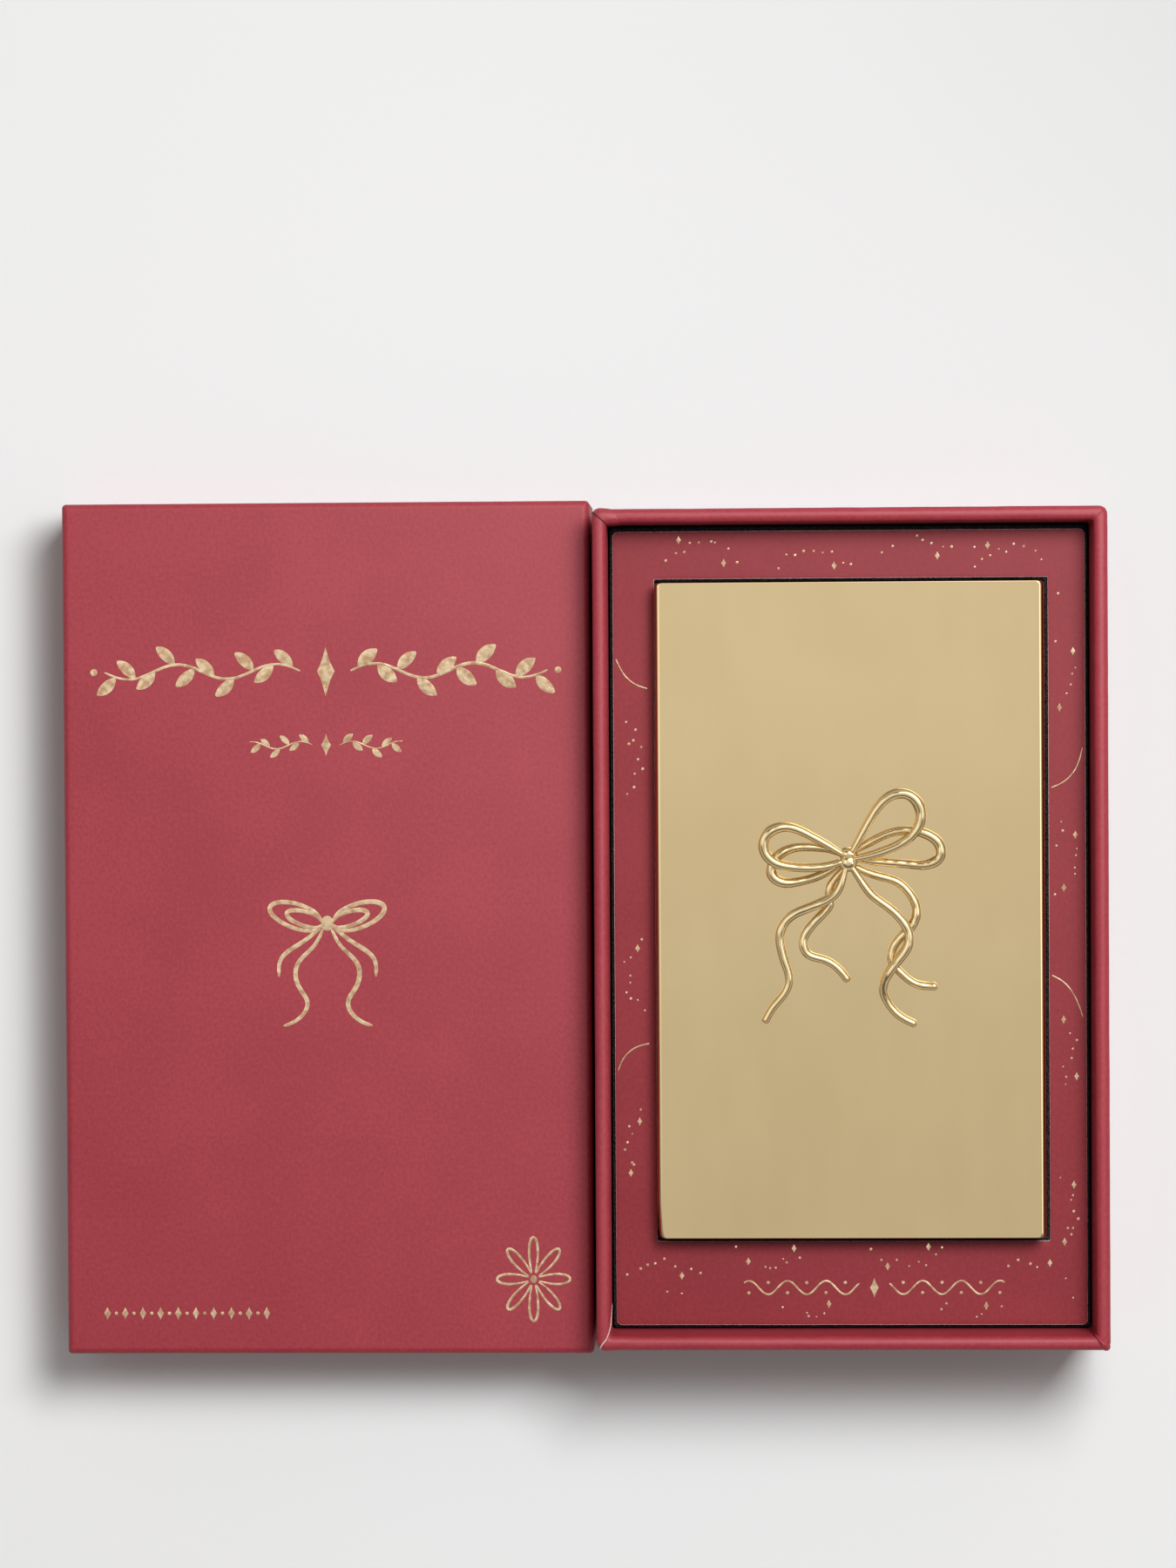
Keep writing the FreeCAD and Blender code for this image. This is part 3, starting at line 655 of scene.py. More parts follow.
# Lid
def lid_cover_grid():
    """Rings of the lid from the middle of its top outwards, round the edge, down the side, round the
    lower rim, up inside to the turned-in paper's end and back within; each ring is the outline drawn in
    by some distance. Waves along the outline pull the sides in, and broad waves sink the top."""
    half = (lid_high - lid_low) / 2
    top = lid_high[2]
    bend = LID_EDGE_ROUND
    foot = LID_RIM_ROUND
    within = foot + 0.1
    cos_in, sin_in = arc(90, 0, 14)
    cos_foot, sin_foot = arc(0, -180, 12)
    inset = np.concatenate([
        half[0] - half[0] * LID_TOP_RINGS,
        LID_NEAR_EDGE,
        bend * (1 - cos_in),
        np.zeros(8),
        LID_WALL / 2 * (1 - cos_foot),
        np.full(5, LID_WALL),
        np.full(5, LID_WALL - PAPER),
        np.full(3, PAPER),
        PAPER + (bend - PAPER) * (1 - sin_in[::3]),
        half[0] - half[0] * LID_UNDER_RINGS,
    ])
    level = np.concatenate([
        np.full(len(LID_TOP_RINGS) + len(LID_NEAR_EDGE), top),
        top - bend + bend * sin_in,
        np.linspace(top - bend, foot, 10)[1:-1],
        foot + foot * sin_foot,
        np.linspace(foot, LID_TURN_IN, 6)[1:],
        np.linspace(LID_TURN_IN, within, 5),
        np.linspace(within, top - bend, 4)[:-1],
        top - bend + (bend - PAPER) * cos_in[::3],
        np.full(len(LID_UNDER_RINGS), top - PAPER),
    ])
    half_x = np.maximum(half[0] - inset, 0)
    corner = np.minimum(np.clip(LID_CORNER - inset, LID_LEAST_CORNER, None), half_x)
    line = ring(half_x, half[1] - inset, corner, lid_centre[:2])
    run = ring_length(ring(half[0], half[1], LID_CORNER))
    pull = LID_PULL * waves(run, 11, 50.0, 8.0)[None, :, None]
    side = ramp(top - level, 0.0, LID_PULL_RUN)[:, None, None]
    line = line - np.sign(line - lid_centre[:2]) * side * np.abs(pull)
    swell = LID_SWELL * waves(line[..., 0], 12, 90.0, 30.0) * waves(line[..., 1], 13, 120.0, 30.0)
    return raised(line, level[:, None] - np.abs(swell) * ramp(level - top, -LID_SWELL_RUN, 0.0)[:, None])


make_piece(
    "lid_cover", [patch(lid_cover_grid(), False, True)], [rose_paper], "lid", ["lid_wrap"],
    sharp=50.0,
)


# Insert
def plate_grid(outer, inner, low, high, round_edge, fill):
    """A plate between an outer ring and a window's ring: a closed section with rounded edges, ruled from ring
    to ring, over the top from the window to the outside and back underneath."""
    cos_up, sin_up = arc(0, 90, EDGE_STATIONS)
    at_window = 0 * cos_up
    outside = at_window + 1
    flat = np.linspace(0, 1, fill)[1:-1]
    way = np.concatenate([at_window, flat, outside, outside, flat[::-1], at_window])
    inward = np.concatenate([
        1 - cos_up, 0 * flat, -(1 - sin_up), -(1 - cos_up), 0 * flat, 1 - sin_up,
    ]) * round_edge
    level = np.concatenate([
        high - round_edge + round_edge * sin_up,
        0 * flat + high,
        high - round_edge + round_edge * cos_up,
        low + round_edge - round_edge * sin_up,
        0 * flat + low,
        low + round_edge - round_edge * cos_up,
    ])
    out = outer - inner
    unit = out / np.linalg.norm(out, axis=1, keepdims=True)
    line = inner[:, None] + out[:, None] * way[None, :, None] + unit[:, None] * inward[None, :, None]
    return raised(line, level[None])


foam_outer = ring(foam_high[0] - FOAM_EASE, foam_high[1] - FOAM_EASE, FOAM_CORNER)
foam_well = ring(*WELL_HALF, WELL_CORNER, WELL_CENTRE)
foam_grid = plate_grid(foam_outer, foam_well, foam_low[2], foam_high[2], FOAM_ROUND, FOAM_FILL)
foam_block = make_piece(
    "foam_block", [patch(foam_grid, True, True)], [black_foam], "insert", ["foam_frame"],
    sharp=60.0,
)


def cushion_grid(low, high, round_edge):
    """A thin slab as rings from the middle of its top out over a rounded edge and back to the middle
    below; each ring is the outline drawn in by some distance."""
    half = (high - low) / 2
    thick = half[2]
    cos_side, sin_side = arc(90, -90, 9)
    over = half[0] * np.array([1.0, 0.6, 0.2])
    below = half[0] * np.array([0.2, 1.0])
    inset = np.concatenate([over, thick * (1 - cos_side), below])
    level = np.concatenate([0 * over + high[2], low[2] + thick + thick * sin_side, 0 * below + low[2]])
    half_x = half[0] - inset
    corner = np.minimum(np.maximum(round_edge - inset, PAD_LEAST_CORNER), half_x)
    line = ring(half_x, half[1] - inset, corner, (low + half)[:2])
    return raised(line, level[:, None])


pad_grid = cushion_grid(pad_low, pad_high, PAD_CORNER)
foam_cushion = make_piece(
    "foam_cushion", [patch(pad_grid, False, True)], [black_foam], "insert", ["foam_pad"],
    sharp=60.0,
)

card_half = card_high[:2] - CARD_EASE - (0.0, CARD_HEAD_EASE / 2)
card_outer = ring(*card_half, CARD_CORNER, (0.0, -CARD_HEAD_EASE / 2))
card_outer = card_outer * (1 + CARD_UNEVEN * waves(ring_length(card_outer), 21, 40.0, 3.0)[:, None])
card_window = ring(*WINDOW_HALF, WINDOW_CORNER, WINDOW_CENTRE)
card_grid = plate_grid(card_outer, card_window, card_low[2], card_high[2], CARD_EDGE_ROUND, CARD_FILL)
cut_edge = np.zeros(card_grid.shape[1], dtype=int)
outer_edge = EDGE_STATIONS + CARD_FILL - 2
cut_edge[:EDGE_STATIONS - 1] = 1
cut_edge[-EDGE_STATIONS:] = 1
cut_edge[outer_edge:outer_edge + 2 * EDGE_STATIONS - 1] = 1
card_patch = patch(card_grid, True, True, np.tile(cut_edge, len(card_grid)))
make_piece(
    "card", [card_patch], [rose_card, paper_core], "insert", ["insert_card"], sharp=60.0
)


# Sleeve
def sheet_end():
    """The sheet's rounded cut end, from its outer to its inner face: distance past the flat, and depth."""
    cos_end, sin_end = arc(0, 90, 6)
    past = CUT_ROUND * np.concatenate([sin_end, cos_end])
    deep = np.concatenate([CUT_ROUND * (1 - cos_end), SHEET - CUT_ROUND * (1 - sin_end)])
    return past, deep


def sheet_flat():
    """Stations along the sleeve between the rounded cut ends, closer together near them."""
    half = (sleeve_high[1] - sleeve_low[1]) / 2 - CUT_ROUND
    inner_half = half - 1.2
    inner = np.linspace(-inner_half, inner_half, 24)
    close = np.array([0.0, 0.06, 0.15, 0.28, 0.45, 0.65, 0.9])
    return np.concatenate([-half + close, inner, (half - close)[::-1]])


def sheet_strip(line, normal):
    """The sheet's closed section along the sleeve carried over a line of places across it: the outer face, a
    rounded end, the inner face and the other end, each place moved in by its depth against the line's
    normal."""
    past, deep_end = sheet_end()
    flat = sheet_flat()
    along = np.concatenate([flat, flat[-1] + past, flat[::-1], flat[0] - past[::-1]])
    deep = np.concatenate([0 * flat, deep_end, 0 * flat + SHEET, deep_end[::-1]])
    across = line[:, None] - normal[:, None] * deep[None, :, None]
    y = np.broadcast_to(sleeve_centre[1] + along[None], across.shape[:2])
    return np.stack([across[..., 0], y, across[..., 1]], axis=-1)


def folded_panel(left_round, right_round, height, hand):
    """A wide panel with its two folds: an arc from the right side, the flat, and an arc to the left side."""
    right = sleeve_high[0] - right_round
    left = sleeve_low[0] + left_round
    right_turn = np.radians(np.linspace(0, 90, 13))
    left_turn = np.radians(np.linspace(90, 180, 13))
    flat_x = np.concatenate([[right - 0.06], np.linspace(right - 1.0, left + 1.0, 12), [left + 0.06]])
    turn = np.concatenate([right_turn, np.full(len(flat_x), math.pi / 2), left_turn])
    normal = np.column_stack([np.cos(turn), hand * np.sin(turn)])
    right_x = right + right_round * np.cos(right_turn)
    left_x = left + left_round * np.cos(left_turn)
    x = np.concatenate([right_x, flat_x, left_x])
    drop = np.concatenate([
        right_round * (1 - np.sin(right_turn)), 0 * flat_x, left_round * (1 - np.sin(left_turn)),
    ])
    return sheet_strip(np.column_stack([x, height - hand * drop]), normal)


def striker_side(face_x, hand, low, high):
    """A side panel round its striker window: rings from the panel's outline to the window on the outer face,
    through the window's rounded edge and back on the inner face, with the panel's two rounded ends."""
    flat = sheet_flat() + sleeve_centre[1]
    rise = np.linspace(low, high, 9)
    level = np.ones(len(flat) - 1)
    upright = np.ones(len(rise) - 1)
    outline = np.column_stack([
        np.concatenate([flat[:-1], flat[-1] * upright, flat[:0:-1], flat[0] * upright]),
        np.concatenate([low * level, rise[:-1], high * level, rise[:0:-1]]),
    ])
    half = (STRIKER_HIGH - STRIKER_LOW) / 2
    middle_window = (STRIKER_HIGH + STRIKER_LOW) / 2
    middle_panel = np.array([(flat[0] + flat[-1]) / 2, (low + high) / 2])
    reach = np.array([(flat[-1] - flat[0]) / 2, (high - low) / 2])
    share = (outline - middle_panel) / reach

    def window(grow):
        size = half + grow
        bend = STRIKER_ROUND + grow
        at = share * size
        core = np.clip(at, -(size - bend), size - bend)
        out = at - core
        length = np.linalg.norm(out, axis=1, keepdims=True)
        return middle_window + core + out / np.maximum(length, TINY) * bend

    outer_rings = [outline, window(STRIKER_APRON), window(STRIKER_EDGE), window(0.0)]
    rings = np.stack(outer_rings + outer_rings[::-1])
    depth = np.array([0, 0, 0, STRIKER_EDGE, SHEET - STRIKER_EDGE, SHEET, SHEET, SHEET])
    x = np.broadcast_to((face_x - hand * depth)[:, None], rings.shape[:2])
    panel = np.stack([x, rings[..., 0], rings[..., 1]], axis=-1)
    past, deep = sheet_end()
    ends = []
    for end_y, way in ((flat[-1], 1), (flat[0], -1)):
        end = np.broadcast_arrays(face_x - hand * deep, end_y + way * past, rise[:, None])
        ends.append(patch(np.stack(end, axis=-1)))
    return [patch(panel, False, True)] + ends


def pinched(patches):
    """The left side drawn in a little at the foot, as the square of the distance past where it begins,
    and each folded corner drawn in along a quarter circle in plan over its last stretch."""
    moved = []
    for points, faces, finishes in patches:
        points = points.copy()
        x, y = points[:, :2].T
        run = ramp(sleeve_low[1] + PINCH_RUN - y, 0.0, PINCH_RUN) ** 2
        share = ramp(-x, 0.0, sleeve_high[0]) ** 4
        past = np.minimum(sleeve_high[1] - y, y - sleeve_low[1])
        into = np.clip(1 - past / PLAN_ROUND, 0, 1)
        round_in = PLAN_ROUND * (1 - np.sqrt(1 - into**2))
        points[:, 0] += PINCH * run * share - np.sign(x) * round_in * ramp(np.abs(x), *NEAR_SIDE)
        moved.append((points, faces, finishes))
    return moved


sleeve_patches = [
    patch(folded_panel(LEFT_FOLD_ROUND, FOLD_ROUND, sleeve_high[2], 1), False, True),
    patch(folded_panel(FOLD_ROUND, FOLD_ROUND, sleeve_low[2], -1), False, True),
]
panel_low = sleeve_low[2] + FOLD_ROUND
sleeve_patches += striker_side(sleeve_high[0], 1, panel_low, sleeve_high[2] - FOLD_ROUND)
sleeve_patches += striker_side(sleeve_low[0], -1, panel_low, sleeve_high[2] - LEFT_FOLD_ROUND)
gold_pieces = [make_piece(
    "sleeve_sheet", pinched(sleeve_patches), [gold_sheet], "sleeve", ["sleeve_shell"],
    sharp=35.0,
)]

# Bow
knot_centre = (knot_low + knot_high) / 2
knot_half = (knot_high - knot_low) / 2

# Each loop's first and last angle at the knot, its layer, and the places it passes, from the knot's centre
BOW_LOOPS = {
    "upper_left": (140, 195, 1.0, [
        (-4, 2.8), (-7.1, 4.5), (-10.2, 5.7), (-12.8, 5.4), (-14.6, 3.8), (-14.5, 1.3),
        (-12.9, -0.4), (-10, -1.2), (-6.5, -1.4), (-3.6, -1.1),
    ]),
    "lower_left": (143, 197, 0.0, [
        (-3.8, 1.9), (-6.5, 2.2), (-9.2, 2.1), (-11.6, 1.2), (-13.2, -0.6), (-13.3, -2.6),
        (-11.6, -3.9), (-9, -3.9), (-5.8, -3.1), (-3.2, -1.9),
    ]),
    "upper_right": (60, 5, 1.0, [
        (2.3, 4.3), (3.8, 7), (5.5, 9.5), (7.7, 11.2), (10.2, 11.4), (12.2, 9.8), (12.7, 7.4),
        (11.8, 5), (9.8, 3.1), (7, 1.7), (4.2, 0.8),
    ]),
    "lower_right": (62, 10, 0.0, [
        (3.7, 2.9), (6, 4.1), (8.6, 4.9), (11.4, 5), (14.1, 4.2), (16, 2.4), (15.9, 0.3),
        (14, -0.9), (11, -0.9), (7.5, -0.6), (4.2, -0.3),
    ]),
}

# Each tail's angle at the knot, and the places that it passes, with its layer at each
BOW_TAILS = {
    "left_outer": (245, [
        (-1.2, -4, 1), (-2.3, -6, 1), (-4.6, -7.5, 1), (-7.6, -8.7, 0.5), (-10.4, -10.2, 0),
        (-11.9, -12.5, 0), (-11.8, -15.4, 0), (-11, -18.3, 0), (-10.4, -20.8, 0), (-11.2, -23.3, 0),
        (-13.1, -25.6, 0), (-14.8, -28.5, 0),
    ]),
    "left_inner": (250, [
        (-2.6, -3.7, 0), (-3.4, -5.5, 0), (-3.2, -7.6, 0), (-4.6, -9.6, 0), (-6.7, -11.8, 0),
        (-7.9, -14.2, 0), (-7.2, -16.4, 0), (-4.6, -17.4, 0), (-2.2, -18.7, 0), (0, -21.3, 0),
    ]),
    "right_inner": (300, [
        (2.4, -4, 1), (4, -6.1, 1), (6.6, -8.1, 1), (9.1, -10.4, 1), (10.5, -13, 1), (10.2, -15.3, 1),
        (8.6, -17.6, 1), (6.9, -20, 1), (6, -22.4, 0.4), (6.8, -25, 0), (8.8, -27.3, 0), (11.8, -28.9, 0),
    ]),
    "right_outer": (315, [
        (3.4, -2.3, 0), (6, -3.1, 0), (8.6, -4, 0), (10.8, -6.1, 0), (11.9, -8.8, 0), (11.2, -11.4, 0),
        (9.2, -13.5, 0), (7.7, -15.6, 0), (7.6, -17.8, 0), (9.1, -19.8, 0), (11.6, -21.7, 0),
        (15.5, -22.2, 0),
    ]),
}


def knot_root(angle, lift):
    """A wire's beginning inside the knot, in the direction of an angle in degrees."""
    half = knot_half * ROOT_SHARE
    return (half[0] * math.cos(math.radians(angle)), half[1] * math.sin(math.radians(angle)), lift)


def wire_grid(points, seed, root, belly, far):
    """A round wire along a spline: thin at its root, and at its far end where far is less than one,
    swelling by the belly's share where the sine of its length peaks, a little uneven as if beaten,
    rounded at both ends."""
    points = np.array(points, dtype=float)
    length = np.linalg.norm(np.diff(points, axis=0), axis=1).sum()
    share = tip_shares(length, *WIRE_ROUNDS, WIRE_STATIONS)
    line = smooth_line(points, share)
    grow = ramp(share * length, 0.0, WIRE_TAPER)
    shrink = ramp((1 - share) * length, 0.0, WIRE_TAPER)
    taper = root + (1 - root) * (3 * grow**2 - 2 * grow**3)
    if far < 1:
        taper *= far + (1 - far) * (3 * shrink**2 - 2 * shrink**3)
    bulge = 1 + belly * np.sin(math.pi * share) ** 6
    beaten = 1 + WIRE_UNEVEN * waves(share * length, seed, 9.0, 2.0, 5)
    radius = WIRE * taper * bulge * beaten
    body = radius * tip_rounding(share, length, *WIRE_ROUNDS)
    path = np.column_stack([
        knot_centre[0] + line[:, 0],
        knot_centre[1] + line[:, 1],
        knot_low[2] + np.maximum(radius, WIRE) + line[:, 2] * WIRE_STEP,
    ])
    return tube(path, body, body, WIRE_SIDES)


def add_wire(name, points, seed, root, belly, far):
    """One of the bow's wires, in the place of the CAD wire of that name."""
    wire = patch(wire_grid(points, seed, root, belly, far), False, True)
    gold_pieces.append(make_piece(
        name, [wire], [gold_wire], "sleeve", ["bow_" + name], sharp=80.0
    ))


for number, (side, (start, end, lift, drawn)) in enumerate(BOW_LOOPS.items()):
    points = [knot_root(start, lift)] + [(x, y, lift) for x, y in drawn] + [knot_root(end, lift)]
    add_wire("loop_" + side, points, 40 + number, root=0.70, belly=0.30, far=0.70)
for number, (side, (start, drawn)) in enumerate(BOW_TAILS.items()):
    points = [knot_root(start, drawn[0][2])] + drawn
    add_wire("tail_" + side, points, 50 + number, root=0.72, belly=0.14, far=1.0)


def bead_grid(centre, half, power):
    """A rounded block: a sphere's grid of latitudes and longitudes, each sine and cosine raised to a
    power."""
    rise = np.linspace(-math.pi / 2, math.pi / 2, 25)[:, None]
    turn = np.linspace(0, 2 * math.pi, 48, endpoint=False)[None]

    def shaped(value):
        return np.sign(value) * np.abs(value) ** power

    flat = shaped(np.cos(rise))
    x = flat * shaped(np.cos(turn))
    y = flat * shaped(np.sin(turn))
    z = shaped(np.sin(rise)) + 0 * turn
    return centre + np.stack([x, y, z], axis=-1) * half


bead_centre = knot_centre + knot_half * (0.0, -0.24, 0.0)
crown_centre = knot_centre + knot_half * (0.02, 0.44, -0.14)
knot = [
    patch(bead_grid(bead_centre, knot_half * (1.0, 0.74, 1.0), power=0.9), False, True),
    patch(bead_grid(crown_centre, knot_half * (0.98, 0.56, 0.84), power=0.92), False, True),
]
gold_pieces.append(make_piece(
    "knot_bead", knot, [gold_wire], "sleeve", ["bow_knot"], sharp=80.0
))


# Foil
def strokes(lines, width, level, swell=0.0):
    """Flat foil strokes: each line's spline carries a low oval, swelling in the middle, with rounded ends."""
    grids = []
    for line in lines:
        points = np.array(line, dtype=float)
        length = np.linalg.norm(np.diff(points, axis=0), axis=1).sum()
        tip = min(width * 1.5, length / 3)
        share = tip_shares(length, tip, tip, max(12, int(length * 2.5)))
        path = smooth_line(points, share)
        body = tip_rounding(share, length, tip, tip)
        broad = body * (1 + swell * (np.sin(math.pi * share) - 0.5))
        path = raised(path, level)
        grids.append(patch(tube(path, width / 2 * broad, FOIL_HIGH * body, FOIL_SIDES), False, True))
    return grids


def spangles(places, half_wide, half_tall, power, level):
    """Foil dots and lozenges: low lenses whose outline is a superellipse of some power, one at each place."""
    places = np.asarray(places, dtype=float).reshape(-1, 2)
    rise = np.linspace(-math.pi / 2, math.pi / 2, 5)[:, None]
    turn = np.linspace(0, 2 * math.pi, 12, endpoint=False)[None]
    edge = (np.abs(np.cos(turn)) ** power + np.abs(np.sin(turn)) ** power) ** (-1 / power)
    x = np.cos(rise) * np.cos(turn) * edge
    y = np.cos(rise) * np.sin(turn) * edge
    z = FOIL_HIGH * np.sin(rise) + 0 * turn
    wide = np.broadcast_to(half_wide, len(places))[:, None, None]
    tall = np.broadcast_to(half_tall, len(places))[:, None, None]
    at_x = places[:, 0, None, None] + wide * x
    at_y = places[:, 1, None, None] + tall * y
    return patch(np.stack([at_x, at_y, level + np.broadcast_to(z, at_x.shape)], axis=-1), False, True)


def mirrored(line, axis_x):
    """A line of places turned over about an upright axis."""
    return np.asarray(line, dtype=float) * (-1, 1) + (2 * axis_x, 0)


def both_sides(lines, axis_x):
    """Lines together with their mirror images."""
    return list(lines) + [mirrored(line, axis_x) for line in lines]


def row_of(places_x, y):
    """Places in a level row."""
    return np.column_stack([places_x, np.full(len(places_x), y)])


def garland(middle, y, first, last, wave, leaf, level):
    """A garland about a middle: on one side a stem along a sine of one wave's length and, every fifth of
    a wave, a leaf that leaves it at about 45 degrees, above and below in turn, and on the other side
    their mirror image."""
    stem_x = np.linspace(first, last, 30)
    rise = leaf * 0.28
    stem = np.column_stack([middle + stem_x, y + rise * np.sin(2 * math.pi * (stem_x - first) / wave)])
    root_x = np.arange(first + wave * 0.08, last - leaf * 0.4, wave / 5)
    root_y = y + rise * np.sin(2 * math.pi * (root_x - first) / wave)
    hand = np.where(np.arange(len(root_x)) % 2 == 0, 1.0, -1.0)
    out = np.array([0.0, 0.45, 1.0])
    leaf_x = middle + root_x[:, None] + leaf * 0.74 * out
    leaf_y = root_y[:, None] + hand[:, None] * leaf * (0.95 * out - 0.25 * out**2)
    leaves = list(np.stack([leaf_x, leaf_y], axis=-1))
    return strokes(both_sides([stem], middle), leaf * 0.11, level, 0.4) + strokes(
        both_sides(leaves, middle), leaf * 0.36, level, 0.8
    )


def lid_band(middle, y, level):
    """The wide band: a lozenge between two halves of a garland, with a dot at each end."""
    ends = [(middle - 41.2, y), (middle + 41.2, y)]
    return garland(middle, y, first=4.4, last=39.4, wave=17.5, leaf=4.6, level=level) + [
        spangles([(middle, y)], 1.6, 4.6, LOZENGE, level),
        spangles(ends, 0.7, 0.7, DOT, level),
    ]


def lid_sprigs(middle, y, level):
    """The small sprigs: a lozenge between two halves of a short garland."""
    return garland(middle, y, first=2.4, last=13.6, wave=8.6, leaf=2.3, level=level) + [
        spangles([(middle, y)], 0.95, 2.1, LOZENGE, level),
    ]


def lid_ribbon(middle, y, level):
    """A plain tied ribbon: a knot with, on each side of it, two drop-shaped loops one in the other, a waving
    end and a short end."""
    turn = np.linspace(-1, 1, 25)
    reach = np.cos(turn * math.pi / 2)
    outer = np.column_stack([middle + 0.8 + 9.4 * reach, y + 7.6 * turn * reach**0.5 * 0.62 + 2.6 * reach])
    inner = np.column_stack([middle + 0.8 + 6.4 * reach, y + 7.6 * turn * reach**0.5 * 0.36 + 1.7 * reach])
    end = np.array([
        (0.7, -0.8), (2.4, -4.0), (5.4, -7.4), (5.2, -11.0), (3.6, -14.2), (5.6, -17.2), (8.0, -18.2),
    ]) + (middle, y)
    under = np.array([(0.9, -0.5), (4.6, -3.4), (8.4, -6.6), (8.6, -9.6)]) + (middle, y)
    return strokes(both_sides([outer, inner, end, under], middle), 0.8, level, 0.4) + [
        spangles([(middle, y)], 1.25, 1.6, 2.4, level),
    ]


def lid_row(first, last, y, level):
    """A short row of small lozenges with a dot between each two."""
    places = np.linspace(first, last, 10)
    return [
        spangles(row_of(places, y), 0.72, 1.35, 0.9, level),
        spangles(row_of((places[1:] + places[:-1]) / 2, y), 0.36, 0.36, DOT, level),
    ]


def lid_rosette(x, y, level):
    """A rosette: eight thin petals, each out and back along half a wave, round a dot."""
    share = np.linspace(0, 1, 15)
    out = 0.9 + 5.6 * np.sin(math.pi * share)
    petals = []
    for turn in np.arange(8) * math.pi / 4:
        lean = turn + 0.62 * (share - 0.5)
        petals.append(np.column_stack([x + out * np.cos(lean), y + 1.15 * out * np.sin(lean)]))
    return strokes(petals, 0.42, level, 0.5) + [spangles([(x, y)], 0.7, 0.8, DOT, level)]


lid_level = lid_high[2] - LID_FOIL_SUNK
middle = lid_centre[0]
lid_foil = (
    lid_band(middle, 45.7, lid_level)
    + lid_sprigs(middle, 32.6, lid_level)
    + lid_ribbon(middle, 1.0, lid_level)
    + lid_row(lid_low[0] + 7.2, lid_low[0] + 35.6, -68.2, lid_level)
    + lid_rosette(lid_high[0] - 10.6, -62.2, lid_level)
)
gold_pieces.append(make_piece("lid_foil", lid_foil, [gold_foil], "lid", sharp=80.0))

# The card's band and the middles of its drifts of dots, with the margins that dots keep to
BAND_X = 4.0
BAND_Y = -63.6
BAND_CLEAR = (25.0, 2.8)
EDGE_CLEAR = (0.7, 1.1)
WINDOW_CLEAR = 0.9
GEM_CLEAR = 1.5
UPRIGHT_FROM = 36
DRIFTS = np.array([
    (-26, 66.5), (-6, 65.2), (12, 67.5), (28, 65.4), (-38.2, 30), (38.2, 44), (38.2, 12), (-38.2, -8),
    (38.4, -22), (-38.3, -38), (38.2, -50), (-33, -60.4), (-14, -58.2), (10, -58.4), (31, -60.6),
    (-8, -68), (20, -68.2),
])


def on_card(at):
    """Whether places lie on the card, clear of its edge, its window and its band."""
    x, y = at.T
    inside = (np.abs(x) < card_half[0] - EDGE_CLEAR[0]) & (np.abs(y) < card_half[1] - EDGE_CLEAR[1])
    past_x = np.abs(x - WINDOW_CENTRE[0]) > WINDOW_HALF[0] + WINDOW_CLEAR
    past_y = np.abs(y - WINDOW_CENTRE[1]) > WINDOW_HALF[1] + WINDOW_CLEAR
    off_band = (np.abs(x - BAND_X) > BAND_CLEAR[0]) | (np.abs(y - BAND_Y) > BAND_CLEAR[1])
    return inside & (past_x | past_y) & off_band


def dust(seed, level):
    """Seeded drifts of foil dots on the card's margins: each drift is a short bowed line of dots with a
    few strays and up to two lozenges; dots too near a lozenge, and places off the card, are left out."""
    draw = np.random.default_rng(seed)
    count = len(DRIFTS)
    upright = np.abs(DRIFTS[:, :1]) > UPRIGHT_FROM
    step = np.arange(9) - 4
    along = 1.55 * step + draw.uniform(-0.5, 0.5, (count, len(step)))
    aside = 0.16 * step**2 - 1.2 + draw.uniform(-0.9, 0.9, (count, len(step)))
    aside = aside * draw.choice([-1, 1], count)[:, None]
    place_x = DRIFTS[:, :1] + np.where(upright, aside, along)
    place_y = DRIFTS[:, 1:] + np.where(upright, along, aside)
    places = np.stack([place_x, place_y], axis=-1)
    spread = np.where(upright, 5.0, 9.0)[..., None]
    stray = DRIFTS[:, None] + draw.uniform(-1, 1, (count, 2, 2)) * spread
    lean = np.where(upright, (0.9, 4.2), (3.6, 1.3)) * draw.choice([-1, 1], (count, 2))
    gems = np.concatenate([DRIFTS + lean, DRIFTS - lean * (1.0, 1.3)])
    gems = gems + draw.uniform(-0.6, 0.6, gems.shape)
    gems = gems[draw.uniform(0, 1, len(gems)) < 0.7]
    dots = np.concatenate([places.reshape(-1, 2), stray.reshape(-1, 2)])
    dots = dots[np.linalg.norm(dots[:, None] - gems[None], axis=-1).min(axis=1) > GEM_CLEAR]
    size = draw.uniform(0.17, 0.3, len(dots))
    kept = on_card(dots)
    return [
        spangles(dots[kept], size[kept], size[kept], DOT, level),
        spangles(gems[on_card(gems)], 0.52, 0.88, LOZENGE, level),
    ]


card_level = card_high[2] - CARD_FOIL_SUNK
band_step = np.linspace(2.6, 23.0, 40)
band_wave = np.column_stack([BAND_X + band_step, BAND_Y + 1.2 * np.sin(2 * math.pi * band_step / 6.8)])
band_dots = 1.7 + 3.4 * np.arange(1, 7)
band_dots = np.concatenate([
    np.column_stack([BAND_X + hand * band_dots, BAND_Y + 0.9 * (-1.0) ** np.arange(len(band_dots))])
    for hand in (-1, 1)
])
card_arcs = [
    [(-41.0, 47.5), (-39.6, 44.8), (-37.6, 43.0), (-35.4, 42.2)],
    [(41.0, 31.5), (39.8, 27.8), (37.6, 25.4), (35.4, 24.4)],
    [(35.4, -8.6), (37.2, -9.6), (39.4, -12.2), (40.9, -16.0)],
    [(-35.4, -20.4), (-37.4, -20.9), (-39.7, -22.6), (-41.0, -25.2)],
]
